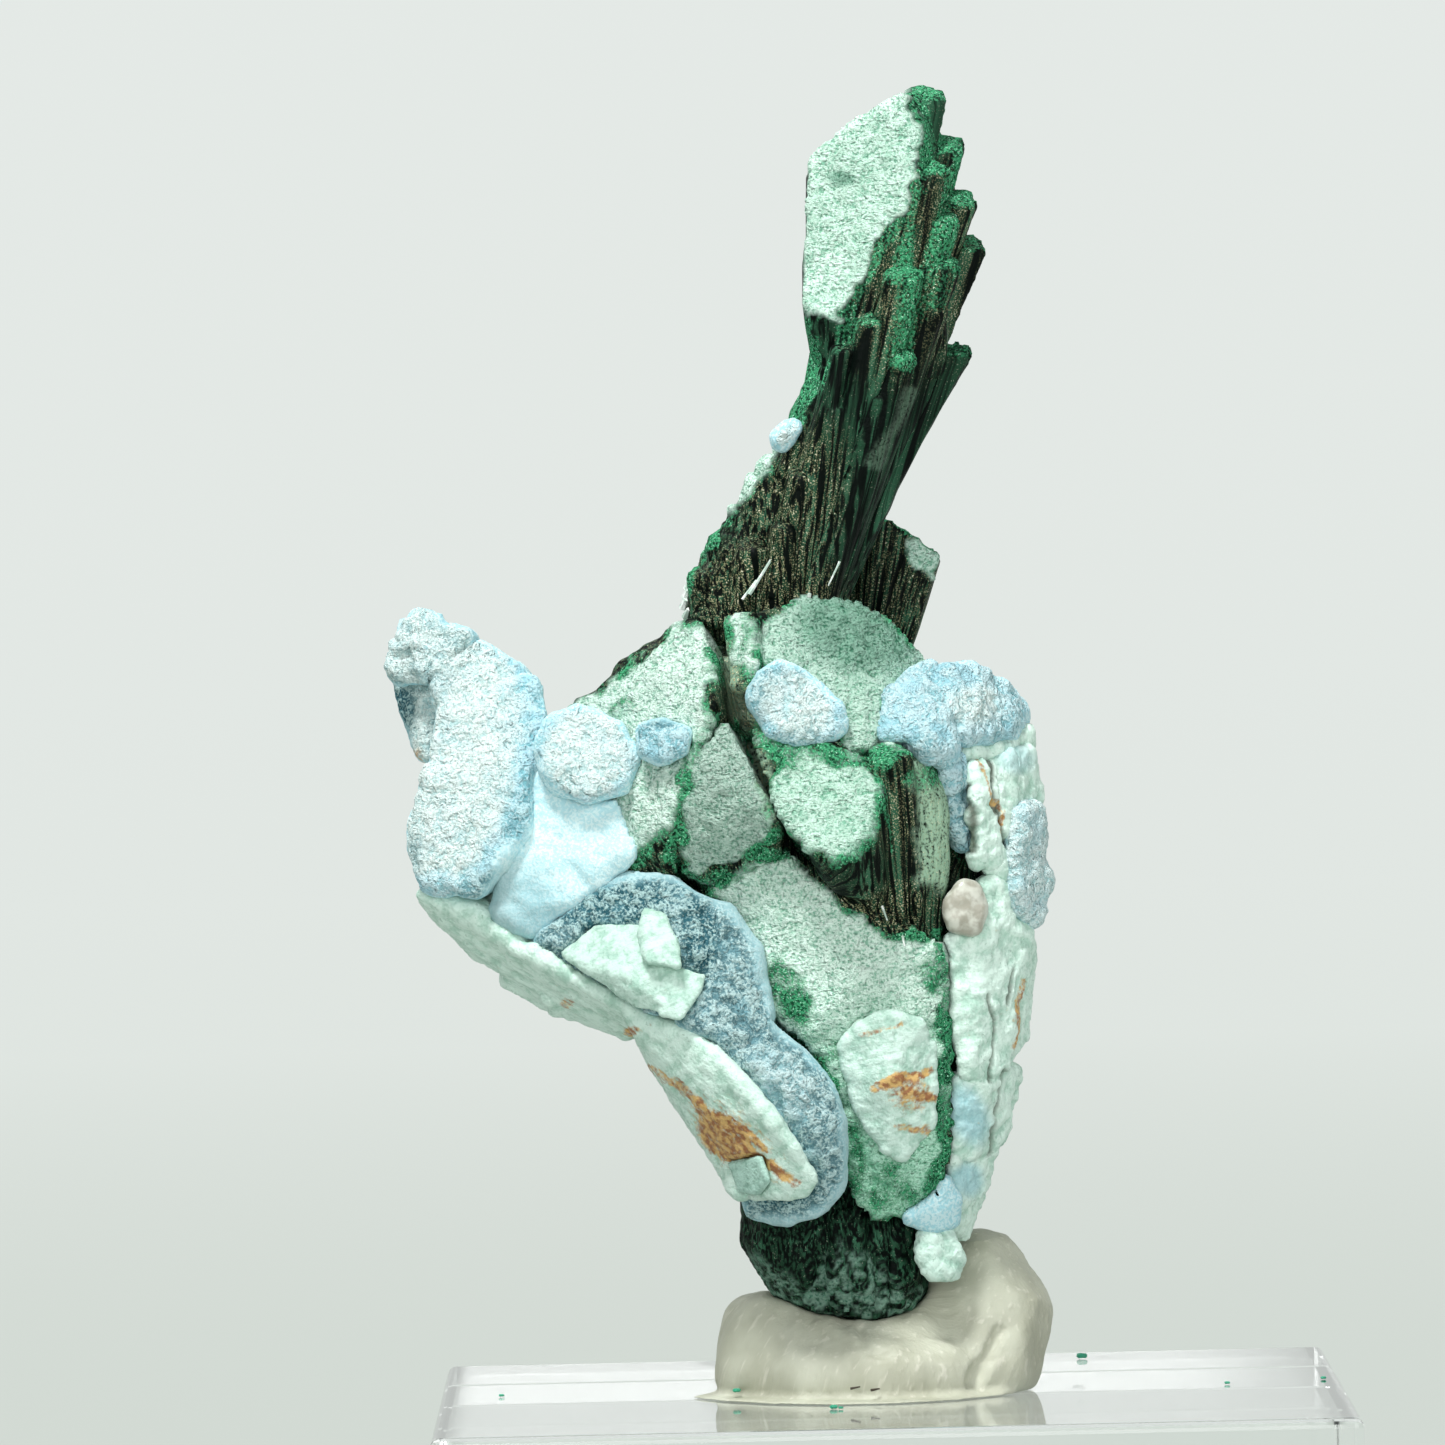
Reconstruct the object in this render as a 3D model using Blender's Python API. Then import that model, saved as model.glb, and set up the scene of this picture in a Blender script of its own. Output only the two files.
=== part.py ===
"""Malachite with chrysocolla: a small mineral specimen pressed into mounting putty on a clear acrylic block.

Lengths are millimetres until mesh_object() turns them into metres. The specimen, its putty and the block share one
frame: +X to the right and +Z up as the specimen is shown, and +Y away from the viewer. The origin is the middle of
the block's underside. Points of the specimen and the putty are measured from the middle of the block's top. The
specimen's heights are given as they look to an eye in front of it and above the block, and lump() takes out the
slope of that line of sight.

Every mineral growth is a union of lumps. A lump is the convex hull of a few corner points, sharp for crystal, or
swollen by a radius for rounded growth. Where two growths touch, the later one is cut back from the earlier one.
"""

import math
from itertools import combinations, product

import bmesh
import bpy
from mathutils import Vector

MM = 0.001

# The block and the fit between touching pieces.
BLOCK_SIDE = 38.0
BLOCK_HEIGHT = 12.0
BLOCK_EDGE = 0.4
CONTACT_GAP = 0.36
SMALLEST_EDGE = 0.004
FLAT_WITHIN = math.radians(0.3)

# The eye that the specimen's heights are given for.
EYE_HEIGHT = 46.5
EYE_DISTANCE = 580.0

# Lumps rounded by more than this get the finer ball.
FINE_FROM = 0.9
GOLDEN = (1 + math.sqrt(5)) / 2

# The plume: a sheaf of crystal bundles that rise from the top of the malachite mass.
PLUME_BASE_HEIGHT = 32.0
BUNDLE_SIDES = 6
BUNDLE_SLANT = 0.45
ROOT_DEPTH = 0.05

lumps_of = {}


def ball_directions():
    """The twelve corners of an icosahedron, as unit directions."""
    corners = []
    for a, b in product((-1, 1), (-GOLDEN, GOLDEN)):
        corners += [(0, a, b), (a, b, 0), (b, 0, a)]
    return [Vector(c).normalized() for c in corners]


def with_midpoints(directions):
    """The directions, and one more between each two neighbours."""
    closest = min((a - b).length for a, b in combinations(directions, 2))
    middles = [(a + b).normalized() for a, b in combinations(directions, 2) if (a - b).length < 1.1 * closest]
    return directions + middles


BALL = ball_directions()
FINE_BALL = with_midpoints(BALL)


def swollen(points, radius):
    """The corner points of balls of this radius about the points, or the points themselves at radius 0."""
    if radius == 0:
        return [Vector(p) for p in points]
    ball = FINE_BALL if radius > FINE_FROM else BALL
    return [Vector(p) + radius * direction for p in points for direction in ball]


def levelled(point):
    """A point whose height is given as it looks from the eye, at its true height."""
    x, y, z = point
    return (x, y, z - (EYE_HEIGHT - z) / EYE_DISTANCE * y)


def lump(*points, round_by=0.0, as_seen=True):
    """A convex growth: its corner points, levelled if they are given as seen, and the radius that rounds them."""
    return {"points": [levelled(p) if as_seen else p for p in points], "round_by": round_by}


def ring(centre, radius, sides, turn=0.0, slant=0.0):
    """Points round a vertical axis. A slant lifts the side that faces away from the viewer."""
    x, y, z = centre
    found = []
    for i in range(sides):
        angle = turn + math.tau * i / sides
        offset = radius * math.sin(angle)
        found.append((x + radius * math.cos(angle), y + offset, z + slant * offset))
    return found


def mesh_object(name, bm):
    """A new object in the scene that holds this bmesh, scaled from millimetres to metres."""
    bmesh.ops.scale(bm, vec=Vector((MM, MM, MM)), verts=bm.verts)
    mesh = bpy.data.meshes.new(name)
    bm.to_mesh(mesh)
    bm.free()
    obj = bpy.data.objects.new(name, mesh)
    bpy.context.scene.collection.objects.link(obj)
    return obj


def hull_object(name, form, grow=0.0):
    """The convex hull of a lump, grown on every side by the given distance."""
    bm = bmesh.new()
    for point in swollen(form["points"], form["round_by"] + grow):
        bm.verts.new(point)
    hull = bmesh.ops.convex_hull(bm, input=bm.verts)
    loose = {v for v in hull["geom_interior"] if isinstance(v, bmesh.types.BMVert)}
    bmesh.ops.delete(bm, geom=list(loose), context="VERTS")
    bmesh.ops.recalc_face_normals(bm, faces=bm.faces)
    return mesh_object(name, bm)


def combine(target, other, operation):
    """Applies one exact Boolean to the target and removes the other solid."""
    modifier = target.modifiers.new(operation.lower(), "BOOLEAN")
    modifier.operation = operation
    modifier.solver = "EXACT"
    modifier.object = other
    graph = bpy.context.evaluated_depsgraph_get()
    solid = bpy.data.meshes.new_from_object(target.evaluated_get(graph))
    target.modifiers.remove(modifier)
    target.data = solid
    bpy.data.objects.remove(other)


def boxes_meet(a, b):
    """Whether the bounding boxes of two objects overlap."""
    corners_a = [Vector(c) for c in a.bound_box]
    corners_b = [Vector(c) for c in b.bound_box]
    for axis in range(3):
        low_a, high_a = min(c[axis] for c in corners_a), max(c[axis] for c in corners_a)
        low_b, high_b = min(c[axis] for c in corners_b), max(c[axis] for c in corners_b)
        if high_a < low_b or high_b < low_a:
            return False
    return True


def tidy(obj):
    """Drops the sliver edges and the loose crumbs that a cut leaves, and keeps the largest closed body."""
    bm = bmesh.new()
    bm.from_mesh(obj.data)
    bmesh.ops.remove_doubles(bm, verts=bm.verts, dist=SMALLEST_EDGE * MM)
    bmesh.ops.dissolve_degenerate(bm, edges=bm.edges, dist=SMALLEST_EDGE * MM)
    bmesh.ops.dissolve_limit(bm, angle_limit=FLAT_WITHIN, verts=bm.verts, edges=bm.edges)
    bmesh.ops.triangulate(bm, faces=bm.faces)
    unseen = set(bm.faces)
    bodies = []
    while unseen:
        front = [unseen.pop()]
        body = []
        while front:
            face = front.pop()
            body.append(face)
            for edge in face.edges:
                for neighbour in edge.link_faces:
                    if neighbour in unseen:
                        unseen.remove(neighbour)
                        front.append(neighbour)
        bodies.append(body)
    bodies.sort(key=len)
    crumbs = [face for body in bodies[:-1] for face in body]
    bmesh.ops.delete(bm, geom=crumbs, context="FACES")
    bm.to_mesh(obj.data)
    bm.free()


def growth(name, finish, forms, cut_by=()):
    """One node: the union of its lumps, cut back from the growths that were there before it."""
    lumps_of[name] = forms
    solid = hull_object(name, forms[0])
    for form in forms[1:]:
        combine(solid, hull_object("lump", form), "UNION")
    for neighbour in cut_by:
        for form in lumps_of[neighbour]:
            cutter = hull_object("cutter", form, grow=CONTACT_GAP)
            if boxes_meet(solid, cutter):
                combine(solid, cutter, "DIFFERENCE")
            else:
                bpy.data.objects.remove(cutter)
    tidy(solid)
    solid.data.materials.clear()
    solid.data.materials.append(finish)
    solid.parent = seat
    return solid


def material(name, colour, roughness, transmission=0.0, ior=1.5):
    """A plain Principled material with the part's colour."""
    made = bpy.data.materials.new(name)
    made.use_nodes = True
    shader = made.node_tree.nodes["Principled BSDF"]
    shader.inputs["Base Color"].default_value = (*colour, 1.0)
    shader.inputs["Roughness"].default_value = roughness
    shader.inputs["Metallic"].default_value = 0.0
    shader.inputs["Transmission Weight"].default_value = transmission
    shader.inputs["IOR"].default_value = ior
    return made


def spray(root, *cap):
    """A cone of radiating fibres: its end cap is what one sees, and its root lies inside the specimen."""
    return lump(root, *cap)


def malachite_mass_forms():
    """The middle of the specimen: cones of fibres that radiate outwards, each ending in a slanted cap."""
    core = lump(
        (-9.0, -2.0, 24.0), (-7.0, -3.6, 30.6), (-3.0, -3.0, 32.2), (1.0, -2.6, 29.6), (2.6, -3.0, 20.0),
        (1.8, -3.4, 10.0), (-1.6, -3.4, 9.0), (-6.0, -4.0, 14.0), (-10.0, -2.0, 21.6), (-8.0, 4.0, 30.4),
        (-3.0, 6.0, 31.0), (1.0, 5.0, 28.6), (2.4, 4.6, 20.0), (0.6, 3.4, 10.0), (-4.4, 4.4, 13.6),
        (-9.0, 4.0, 22.0),
    )
    left_cap = spray(
        (-4.0, 2.0, 25.0),
        (-7.4, -5.0, 32.5), (-6.9, -6.6, 31.0), (-6.8, -7.5, 29.0), (-7.5, -7.8, 27.0), (-8.3, -7.5, 25.0),
        (-9.0, -7.0, 23.2), (-8.8, -6.4, 22.0), (-10.3, -5.6, 21.9), (-11.0, -5.2, 25.2), (-12.8, -2.4, 28.9),
        (-10.4, -2.2, 30.6), (-8.5, -2.8, 32.2),
    )
    strip_cap = spray(
        (-4.5, 1.0, 24.0),
        (-6.1, -5.4, 32.6), (-5.0, -5.8, 32.8), (-4.95, -7.0, 31.0), (-5.3, -7.4, 29.8), (-5.9, -6.9, 29.8),
    )
    shaded_cap = spray(
        (-3.5, 0.0, 22.0),
        (-6.4, -7.9, 28.1), (-5.7, -8.2, 26.8), (-4.9, -8.3, 25.0), (-4.3, -8.2, 23.9), (-4.5, -7.5, 22.8),
        (-5.6, -6.9, 22.2), (-7.1, -6.4, 21.7), (-8.2, -6.3, 21.9), (-8.5, -6.9, 23.1), (-8.0, -7.6, 25.1),
        (-7.3, -8.0, 26.9),
    )
    top_cap = spray(
        (-1.5, 1.0, 23.0),
        (-4.9, -5.4, 32.8), (-3.0, -4.6, 33.4), (-1.4, -4.0, 33.3), (0.5, -3.2, 32.3), (2.1, -2.4, 30.5),
        (1.2, -4.4, 29.4), (0.2, -6.0, 28.3), (-0.3, -6.8, 27.2), (-2.0, -7.3, 26.8), (-3.9, -7.4, 27.3),
        (-5.3, -7.2, 28.4), (-5.5, -7.0, 29.8),
    )
    bright_cap = spray(
        (1.4, -3.2, 17.5),
        (-5.1, -7.3, 27.9), (-2.6, -7.6, 27.2), (-0.2, -7.4, 26.5), (0.0, -8.2, 25.3), (-0.6, -9.0, 23.3),
        (-1.8, -9.5, 22.4), (-2.8, -9.3, 22.6), (-3.9, -8.8, 24.0), (-4.7, -8.1, 25.9),
    )
    post = lump(
        (-0.2, -7.9, 26.5), (0.4, -8.3, 26.4), (1.1, -7.9, 26.5), (1.2, -6.8, 27.0), (0.5, -6.5, 27.1),
        (-0.2, -6.9, 27.0), (1.6, -5.6, 19.0), (0.3, -5.8, 19.2),
    )
    wide_post = lump(
        (1.3, -7.0, 26.5), (2.1, -6.4, 26.4), (2.2, -4.8, 27.0), (1.2, -5.2, 27.1), (2.8, -6.0, 24.0),
        (2.6, -5.8, 21.0), (1.4, -6.6, 20.6), (2.3, -5.0, 18.4), (1.2, -5.0, 18.4),
    )
    apron_upper = spray(
        (-0.5, 1.0, 17.0),
        (-7.6, -5.6, 21.2), (-5.6, -6.4, 22.3), (-4.3, -6.8, 22.8), (-3.1, -7.0, 22.2), (-1.0, -6.7, 20.2),
        (0.5, -6.4, 18.8), (2.3, -6.1, 18.7), (2.7, -5.6, 15.0), (-3.2, -6.5, 14.8), (-4.6, -6.3, 16.0),
        (-5.3, -6.1, 19.2), (-1.2, -7.2, 17.5),
    )
    apron_lower = spray(
        (0.0, 1.0, 13.0),
        (-3.2, -6.4, 15.0), (2.7, -5.7, 15.4), (2.5, -5.2, 9.6), (1.6, -5.0, 8.2), (0.0, -5.0, 7.0),
        (-1.2, -5.2, 7.9), (-1.8, -5.6, 9.5), (-2.4, -6.2, 12.5), (0.2, -6.8, 12.8),
    )
    right_flank = spray(
        (0.0, 0.0, 18.0),
        (3.2, -3.4, 25.6), (4.4, -1.4, 21.0), (4.2, -1.4, 14.0), (3.0, -3.0, 11.0), (3.6, 2.0, 25.0),
        (4.0, 3.0, 18.0),
    )
    back_upper_left = spray(
        (-4.0, 0.0, 25.0),
        (-9.4, 4.6, 31.0), (-5.0, 7.0, 32.4), (-3.6, 8.0, 28.4), (-6.0, 8.2, 25.0), (-10.6, 6.0, 26.0),
        (-11.4, 3.0, 28.6),
    )
    back_upper_right = spray(
        (-2.0, 0.0, 24.0),
        (-2.4, 7.2, 31.8), (1.4, 5.6, 31.0), (3.4, 5.6, 27.4), (1.6, 7.8, 24.6), (-2.2, 8.8, 26.6),
    )
    back_middle = spray(
        (-3.0, 0.0, 19.0),
        (-8.2, 6.6, 23.2), (-4.0, 8.6, 24.4), (-0.8, 8.6, 22.2), (-1.2, 7.4, 16.2), (-5.2, 6.4, 14.8),
    )
    back_lower_right = spray(
        (0.0, 0.0, 17.0),
        (0.4, 8.0, 22.8), (3.6, 6.0, 22.2), (4.2, 4.2, 16.0), (2.6, 5.2, 11.2), (-0.6, 6.6, 12.8),
    )
    back_lower_left = spray(
        (-1.0, 0.0, 13.0),
        (-3.4, 6.0, 14.6), (0.6, 6.0, 12.2), (0.8, 4.2, 8.0), (-2.2, 4.4, 8.4), (-5.2, 4.6, 11.4),
    )
    return [
        core, left_cap, strip_cap, shaded_cap, top_cap, bright_cap, post, wide_post, apron_upper, apron_lower,
        right_flank, back_upper_left, back_upper_right, back_middle, back_lower_right, back_lower_left,
    ]


def bundle(base_x, base_y, tip, tip_radius, base_radius=0.95):
    """A six-sided bundle of fibres from the plume's base to a tip, which is slanted and a little wider."""
    turn = math.radians(37) * (tip[0] + 2 * tip[1] + 3 * tip[2])
    root_height = PLUME_BASE_HEIGHT - ROOT_DEPTH * (tip[2] - PLUME_BASE_HEIGHT)
    foot = ring((base_x, base_y, root_height), base_radius, BUNDLE_SIDES, turn)
    head = ring(tip, tip_radius, BUNDLE_SIDES, turn, slant=BUNDLE_SLANT)
    return lump(*foot, *head)


def plume_forms():
    """The tall plume: a leaning stem, a capped head, and bundles of unequal length that step up their sides."""
    stem = lump(
        (-7.2, -1.6, 32.0), (-5.0, -2.6, 31.6), (-2.8, -2.2, 32.0), (-2.4, 0.6, 32.0), (-4.0, 2.4, 31.6),
        (-7.2, 1.6, 32.0), (-2.1, -1.0, 43.4), (-1.0, -2.3, 43.6), (1.2, -2.2, 43.2), (2.9, -0.6, 43.0),
        (2.3, 1.4, 43.0), (0.0, 2.0, 43.4), (-1.8, 1.0, 43.4),
    )
    head = lump(
        (-2.2, -0.7, 51.8), (-0.7, -0.8, 53.0), (1.7, -1.5, 54.3), (2.3, -2.1, 53.0), (2.1, -2.7, 50.5),
        (1.3, -2.65, 49.5), (0.5, -2.6, 48.6), (0.0, -2.7, 47.5), (-0.9, -2.8, 45.8), (-1.4, -2.8, 45.2),
        (-2.6, -2.2, 45.7), (-2.0, 1.2, 51.0), (-2.2, 0.6, 46.0), (1.5, 1.6, 53.4), (2.9, 0.2, 53.4),
        (3.5, 0.2, 50.6), (3.8, 0.2, 47.6), (3.3, 0.4, 45.0), (2.6, 1.6, 49.0), (-2.1, -1.0, 43.0),
        (-1.2, -2.2, 42.6), (1.0, -2.3, 42.6), (3.0, -0.8, 42.8), (2.3, 1.2, 42.8), (-1.4, 1.4, 43.0),
    )
    fan = lump(
        (-7.9, -1.0, 32.0), (-7.4, -2.4, 32.4), (-3.0, -2.8, 32.4), (-3.0, 1.6, 32.4), (-7.2, 2.2, 32.2),
        (-6.9, -0.6, 35.6), (-5.4, -1.8, 37.2), (-4.2, -2.0, 38.8), (-4.4, 1.8, 38.4), (-6.4, 1.4, 36.0),
    )
    left_edge = [
        bundle(-7.0, -1.4, (-7.0, -1.7, 34.5), 0.55, 0.8),
        bundle(-6.7, -0.9, (-6.2, -1.2, 36.0), 0.55, 0.8),
        bundle(-6.3, -0.8, (-5.4, -1.5, 37.1), 0.5, 0.8),
        bundle(-5.9, 0.0, (-4.7, -0.7, 38.4), 0.5, 0.8),
        bundle(-5.5, 0.1, (-4.0, -0.8, 39.2), 0.5, 0.8),
        bundle(-5.3, 0.0, (-2.9, -0.6, 40.6), 0.5, 0.8),
        bundle(-5.1, 0.1, (-2.4, -0.8, 42.1), 0.4, 0.8),
        bundle(-6.6, 1.4, (-6.4, 1.9, 35.4), 0.6, 0.8),
        bundle(-5.6, 1.6, (-4.9, 2.2, 37.4), 0.6, 0.8),
        bundle(-5.0, 1.3, (-3.2, 1.8, 40.2), 0.6, 0.8),
    ]
    right_edge = [
        bundle(-3.2, 0.0, (3.5, 0.3, 43.6), 0.75, 0.8),
        bundle(-3.4, 0.6, (3.3, 0.9, 45.5), 0.75),
        bundle(-3.4, 0.2, (4.2, 0.1, 48.0), 0.85),
        bundle(-3.6, 0.0, (3.8, -0.5, 49.8), 0.8),
        bundle(-3.6, 0.3, (3.2, 0.0, 52.1), 0.85),
        bundle(-3.6, 0.2, (2.6, -0.3, 54.2), 0.8),
        bundle(-3.4, 1.4, (0.2, 2.0, 38.4), 0.6),
        bundle(-3.4, 1.4, (1.5, 2.2, 42.2), 0.6),
        bundle(-3.4, 1.4, (2.4, 2.0, 47.6), 0.6),
    ]
    front = [
        bundle(-3.2, -1.5, (1.2, -2.8, 43.4), 0.55, 0.8),
        bundle(-3.2, -1.0, (2.4, -2.0, 45.4), 0.65),
        bundle(-3.4, -1.2, (1.5, -3.0, 46.8), 0.65),
        bundle(-3.4, -0.9, (3.0, -1.9, 47.2), 0.65),
        bundle(-3.4, -0.8, (3.1, -1.7, 49.1), 0.7),
        bundle(-3.4, -0.8, (2.8, -2.0, 51.2), 0.65),
        bundle(-3.6, -1.5, (0.1, -3.2, 44.9), 0.5, 0.8),
        bundle(-4.2, -1.6, (-1.0, -3.1, 43.9), 0.5, 0.8),
        bundle(-3.2, -1.8, (-0.2, -2.6, 39.6), 0.5, 0.7),
        bundle(-4.0, -1.9, (-1.5, -3.0, 41.4), 0.45, 0.7),
        bundle(-3.4, -1.8, (0.5, -2.8, 41.8), 0.45, 0.7),
        bundle(-4.6, -1.8, (-2.8, -2.7, 38.6), 0.55, 0.8),
        bundle(-4.4, -2.2, (-3.8, -3.0, 36.4), 0.45, 0.7),
        bundle(-5.8, -1.8, (-5.0, -2.7, 35.6), 0.55, 0.8),
    ]
    back = [
        bundle(-4.0, 1.4, (-1.4, 2.2, 44.6), 0.6),
        bundle(-3.8, 1.4, (-0.6, 2.0, 48.6), 0.6),
        bundle(-3.6, 1.2, (1.1, 1.6, 51.4), 0.6),
    ]
    return [stem, head, fan, *left_edge, *right_edge, *front, *back]


def back_fan_forms():
    """The short dark fan that stands behind the plume's root, broken off at its top."""
    blade = lump(
        (-1.9, 3.2, 36.8), (0.8, 3.0, 36.5), (1.7, 3.0, 35.9), (2.8, 3.4, 35.0), (2.2, 3.2, 33.4),
        (1.6, 3.2, 31.4), (-2.6, 6.0, 36.0), (0.8, 6.4, 35.6), (2.4, 6.2, 34.2), (1.2, 5.6, 31.0),
        (-1.6, 4.0, 30.4),
    )
    shoulder = lump(
        (-4.8, 4.2, 35.0), (-2.2, 3.6, 35.8), (-2.0, 6.4, 35.4), (-4.4, 6.8, 34.2), (-5.6, 5.6, 33.6),
        (-4.0, 5.2, 30.6), (-1.2, 5.2, 30.6),
    )
    stub = lump(
        (-7.4, 4.0, 34.0), (-5.0, 3.6, 34.6), (-4.6, 5.8, 34.4), (-6.8, 6.2, 33.2), (-5.4, 4.4, 30.2),
        (-3.8, 5.0, 30.2),
    )
    return [blade, shoulder, stub]


def foot_forms():
    """The dark spray under the specimen: fibres that fan downwards to a powdery, rounded end."""
    main_fan = lump(
        (-4.8, -1.8, 4.3), (-3.0, -3.1, 3.5), (-0.6, -3.4, 3.2), (0.8, -2.9, 3.5), (1.4, -1.8, 4.2),
        (1.3, 1.6, 4.1), (-0.6, 2.9, 3.4), (-3.2, 2.8, 3.6), (-4.7, 1.4, 4.4), (-6.1, -1.4, 6.4),
        (-5.3, -3.2, 6.3), (-2.0, -4.3, 6.2), (0.9, -3.9, 6.3), (1.6, -1.0, 7.0), (1.2, 2.6, 7.0),
        (-2.0, 3.8, 7.0), (-5.2, 2.8, 6.9), (-6.0, -1.8, 8.4), (-3.0, -3.8, 9.4), (0.5, -3.2, 9.4),
        (1.0, 2.0, 10.2), (-2.0, 3.4, 10.6), (-5.4, 1.8, 10.0),
    )
    knuckle_left = lump(
        (-5.8, -2.6, 6.2), (-4.4, -3.7, 5.4), (-4.2, -2.8, 4.2), (-5.0, -3.4, 8.6), (-3.4, -4.2, 8.6),
        (-3.2, -3.8, 4.6),
    )
    knuckle_middle = lump(
        (-2.6, -4.4, 5.2), (-1.2, -4.6, 5.0), (-0.6, -3.9, 3.4), (-2.4, -3.7, 3.5), (-2.2, -4.3, 7.8),
        (-1.2, -4.3, 7.8),
    )
    knuckle_right = lump(
        (0.0, -4.3, 5.0), (1.1, -3.7, 4.8), (1.3, -2.6, 4.0), (0.2, -3.5, 3.5), (0.4, -4.0, 7.4),
        (1.2, -3.2, 7.4),
    )
    return [main_fan, knuckle_left, knuckle_middle, knuckle_right]


def left_lobe_forms():
    """The thick pale lobe at the left: a horn, a broad broken band and a smooth hollowed skirt."""
    horn = lump(
        (-19.5, -1.6, 32.2), (-18.9, -1.2, 32.5), (-19.8, -1.8, 30.8), (-18.7, -2.4, 30.9),
        (-17.4, -2.2, 31.9), (-18.4, 1.4, 31.6), (-17.0, 1.6, 31.2), round_by=0.5,
    )
    neck = lump(
        (-18.2, -2.4, 31.0), (-16.5, -1.9, 31.3), (-15.0, -2.4, 30.2), (-17.6, -3.3, 28.4),
        (-15.4, -3.4, 28.4), (-17.4, 1.2, 29.6), (-15.0, 1.6, 29.4), round_by=0.5,
    )
    band_upper = lump(
        (-17.7, -3.5, 28.8), (-14.7, -2.9, 29.9), (-14.3, -3.7, 28.4), (-14.6, -4.5, 26.6),
        (-18.3, -4.2, 26.2), (-16.8, 1.2, 27.4), (-14.6, 1.0, 27.0), round_by=0.5,
    )
    band_lower = lump(
        (-18.4, -4.3, 26.4), (-14.9, -4.7, 26.6), (-15.0, -5.2, 24.2), (-16.0, -5.5, 22.8),
        (-16.9, -5.6, 21.7), (-18.5, -5.0, 21.9), (-19.1, -4.4, 23.6), (-18.0, 0.6, 24.0),
        (-15.6, 0.8, 22.6), round_by=0.5,
    )
    skirt = lump(
        (-14.6, -4.2, 26.4), (-12.4, -4.4, 25.4), (-10.7, -5.4, 24.9), (-10.5, -5.9, 22.9), (-12.2, -5.6, 21.8),
        (-14.6, -5.2, 19.9), (-15.7, -5.0, 20.5), (-15.0, -4.6, 23.1), (-13.0, 0.5, 23.3), (-11.4, -2.1, 22.6),
        round_by=0.47,
    )
    hidden_wall = lump(
        (-19.8, 0.4, 30.4), (-18.4, -1.0, 30.4), (-18.8, -1.6, 27.4), (-18.6, 2.0, 27.4), (-18.8, 1.4, 30.2),
        round_by=0.4,
    )
    return [band_lower, band_upper, neck, horn, hidden_wall, skirt]


def lower_lobe_forms():
    """The long lobe under the left side: a rim at the top, a broad belly and a rounded lower end."""
    rim = lump(
        (-14.1, -5.3, 19.5), (-13.1, -5.2, 20.7), (-11.2, -5.5, 21.6), (-9.2, -6.2, 21.6),
        (-8.0, -6.9, 20.7), (-7.7, -7.5, 18.6), (-9.4, -7.5, 16.6), (-12.0, -6.5, 18.4), (-10.0, -2.4, 19.0),
        round_by=0.5,
    )
    belly = lump(
        (-7.6, -7.0, 20.6), (-6.5, -6.7, 20.2), (-5.5, -6.8, 18.6), (-5.0, -7.2, 16.0), (-6.0, -8.0, 15.0),
        (-8.2, -7.9, 16.0), (-8.7, -7.5, 18.1), (-6.5, -3.0, 17.5), round_by=0.4,
    )
    lower_end = lump(
        (-6.8, -7.6, 15.1), (-5.2, -7.5, 15.3), (-3.7, -7.5, 14.0), (-2.7, -7.7, 12.6), (-2.2, -7.6, 11.0),
        (-2.3, -7.1, 8.9), (-3.1, -6.7, 8.0), (-4.2, -6.3, 7.6), (-5.3, -5.5, 7.9), (-3.0, -8.0, 10.9),
        (-4.4, -8.3, 13.4), (-5.7, -7.4, 13.2), (-4.6, -3.2, 11.4), round_by=0.5,
    )
    return [rim, belly, lower_end]


def round_slice_forms():
    """A thick round slice of botryoidal growth, broken flat across its front."""
    return [
        lump(
            (-13.5, -5.0, 28.2), (-12.5, -4.9, 28.5), (-11.1, -5.2, 28.0), (-10.4, -5.7, 26.9),
            (-10.9, -6.1, 25.8), (-12.1, -6.1, 25.5), (-13.2, -5.8, 26.0), (-13.7, -5.4, 27.2),
            (-12.2, -3.5, 27.2), round_by=0.5,
        )
    ]


def small_slice_forms():
    """The small blue slice beside the round one."""
    return [
        lump(
            (-9.6, -6.8, 27.9), (-8.9, -7.0, 28.1), (-8.1, -7.5, 27.8), (-8.2, -7.6, 27.2),
            (-9.1, -7.2, 26.9), (-9.6, -6.9, 27.2), (-8.9, -5.4, 27.4), round_by=0.28,
        )
    ]


def oval_forms():
    """The oval slice that is set in the top cap."""
    return [
        lump(
            (-4.6, -7.3, 30.1), (-4.0, -7.2, 30.4), (-3.0, -7.1, 29.9), (-1.8, -7.2, 28.7),
            (-1.7, -7.3, 28.0), (-2.4, -7.4, 27.6), (-3.5, -7.5, 27.6), (-4.4, -7.6, 28.0),
            (-5.0, -7.5, 29.2), (-3.4, -5.6, 29.0), round_by=0.3,
        )
    ]


def right_lobe_forms():
    """The rounded lobe at the upper right, with a tail that runs down beside the posts."""
    shoulder = lump(
        (0.3, -6.5, 27.6), (0.8, -5.7, 29.2), (2.2, -4.6, 30.0), (2.5, -6.0, 28.2), (1.8, -6.8, 27.2),
        (2.8, -6.0, 26.7), (2.0, -2.0, 28.8), round_by=0.5,
    )
    hump = lump(
        (2.8, -4.6, 29.9), (4.1, -3.4, 29.8), (5.3, -2.2, 29.0), (5.8, -1.4, 28.4), (5.2, -3.4, 27.7),
        (3.6, -5.2, 27.5), (2.9, -5.4, 28.6), (4.0, 0.6, 29.2), (5.0, 0.8, 28.2), round_by=0.5,
    )
    tail = lump(
        (2.7, -5.8, 26.6), (3.2, -5.3, 26.4), (3.2, -5.1, 23.8), (3.4, -4.8, 22.9), (2.9, -3.4, 24.6),
        round_by=0.35,
    )
    return [shoulder, hump, tail]


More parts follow.
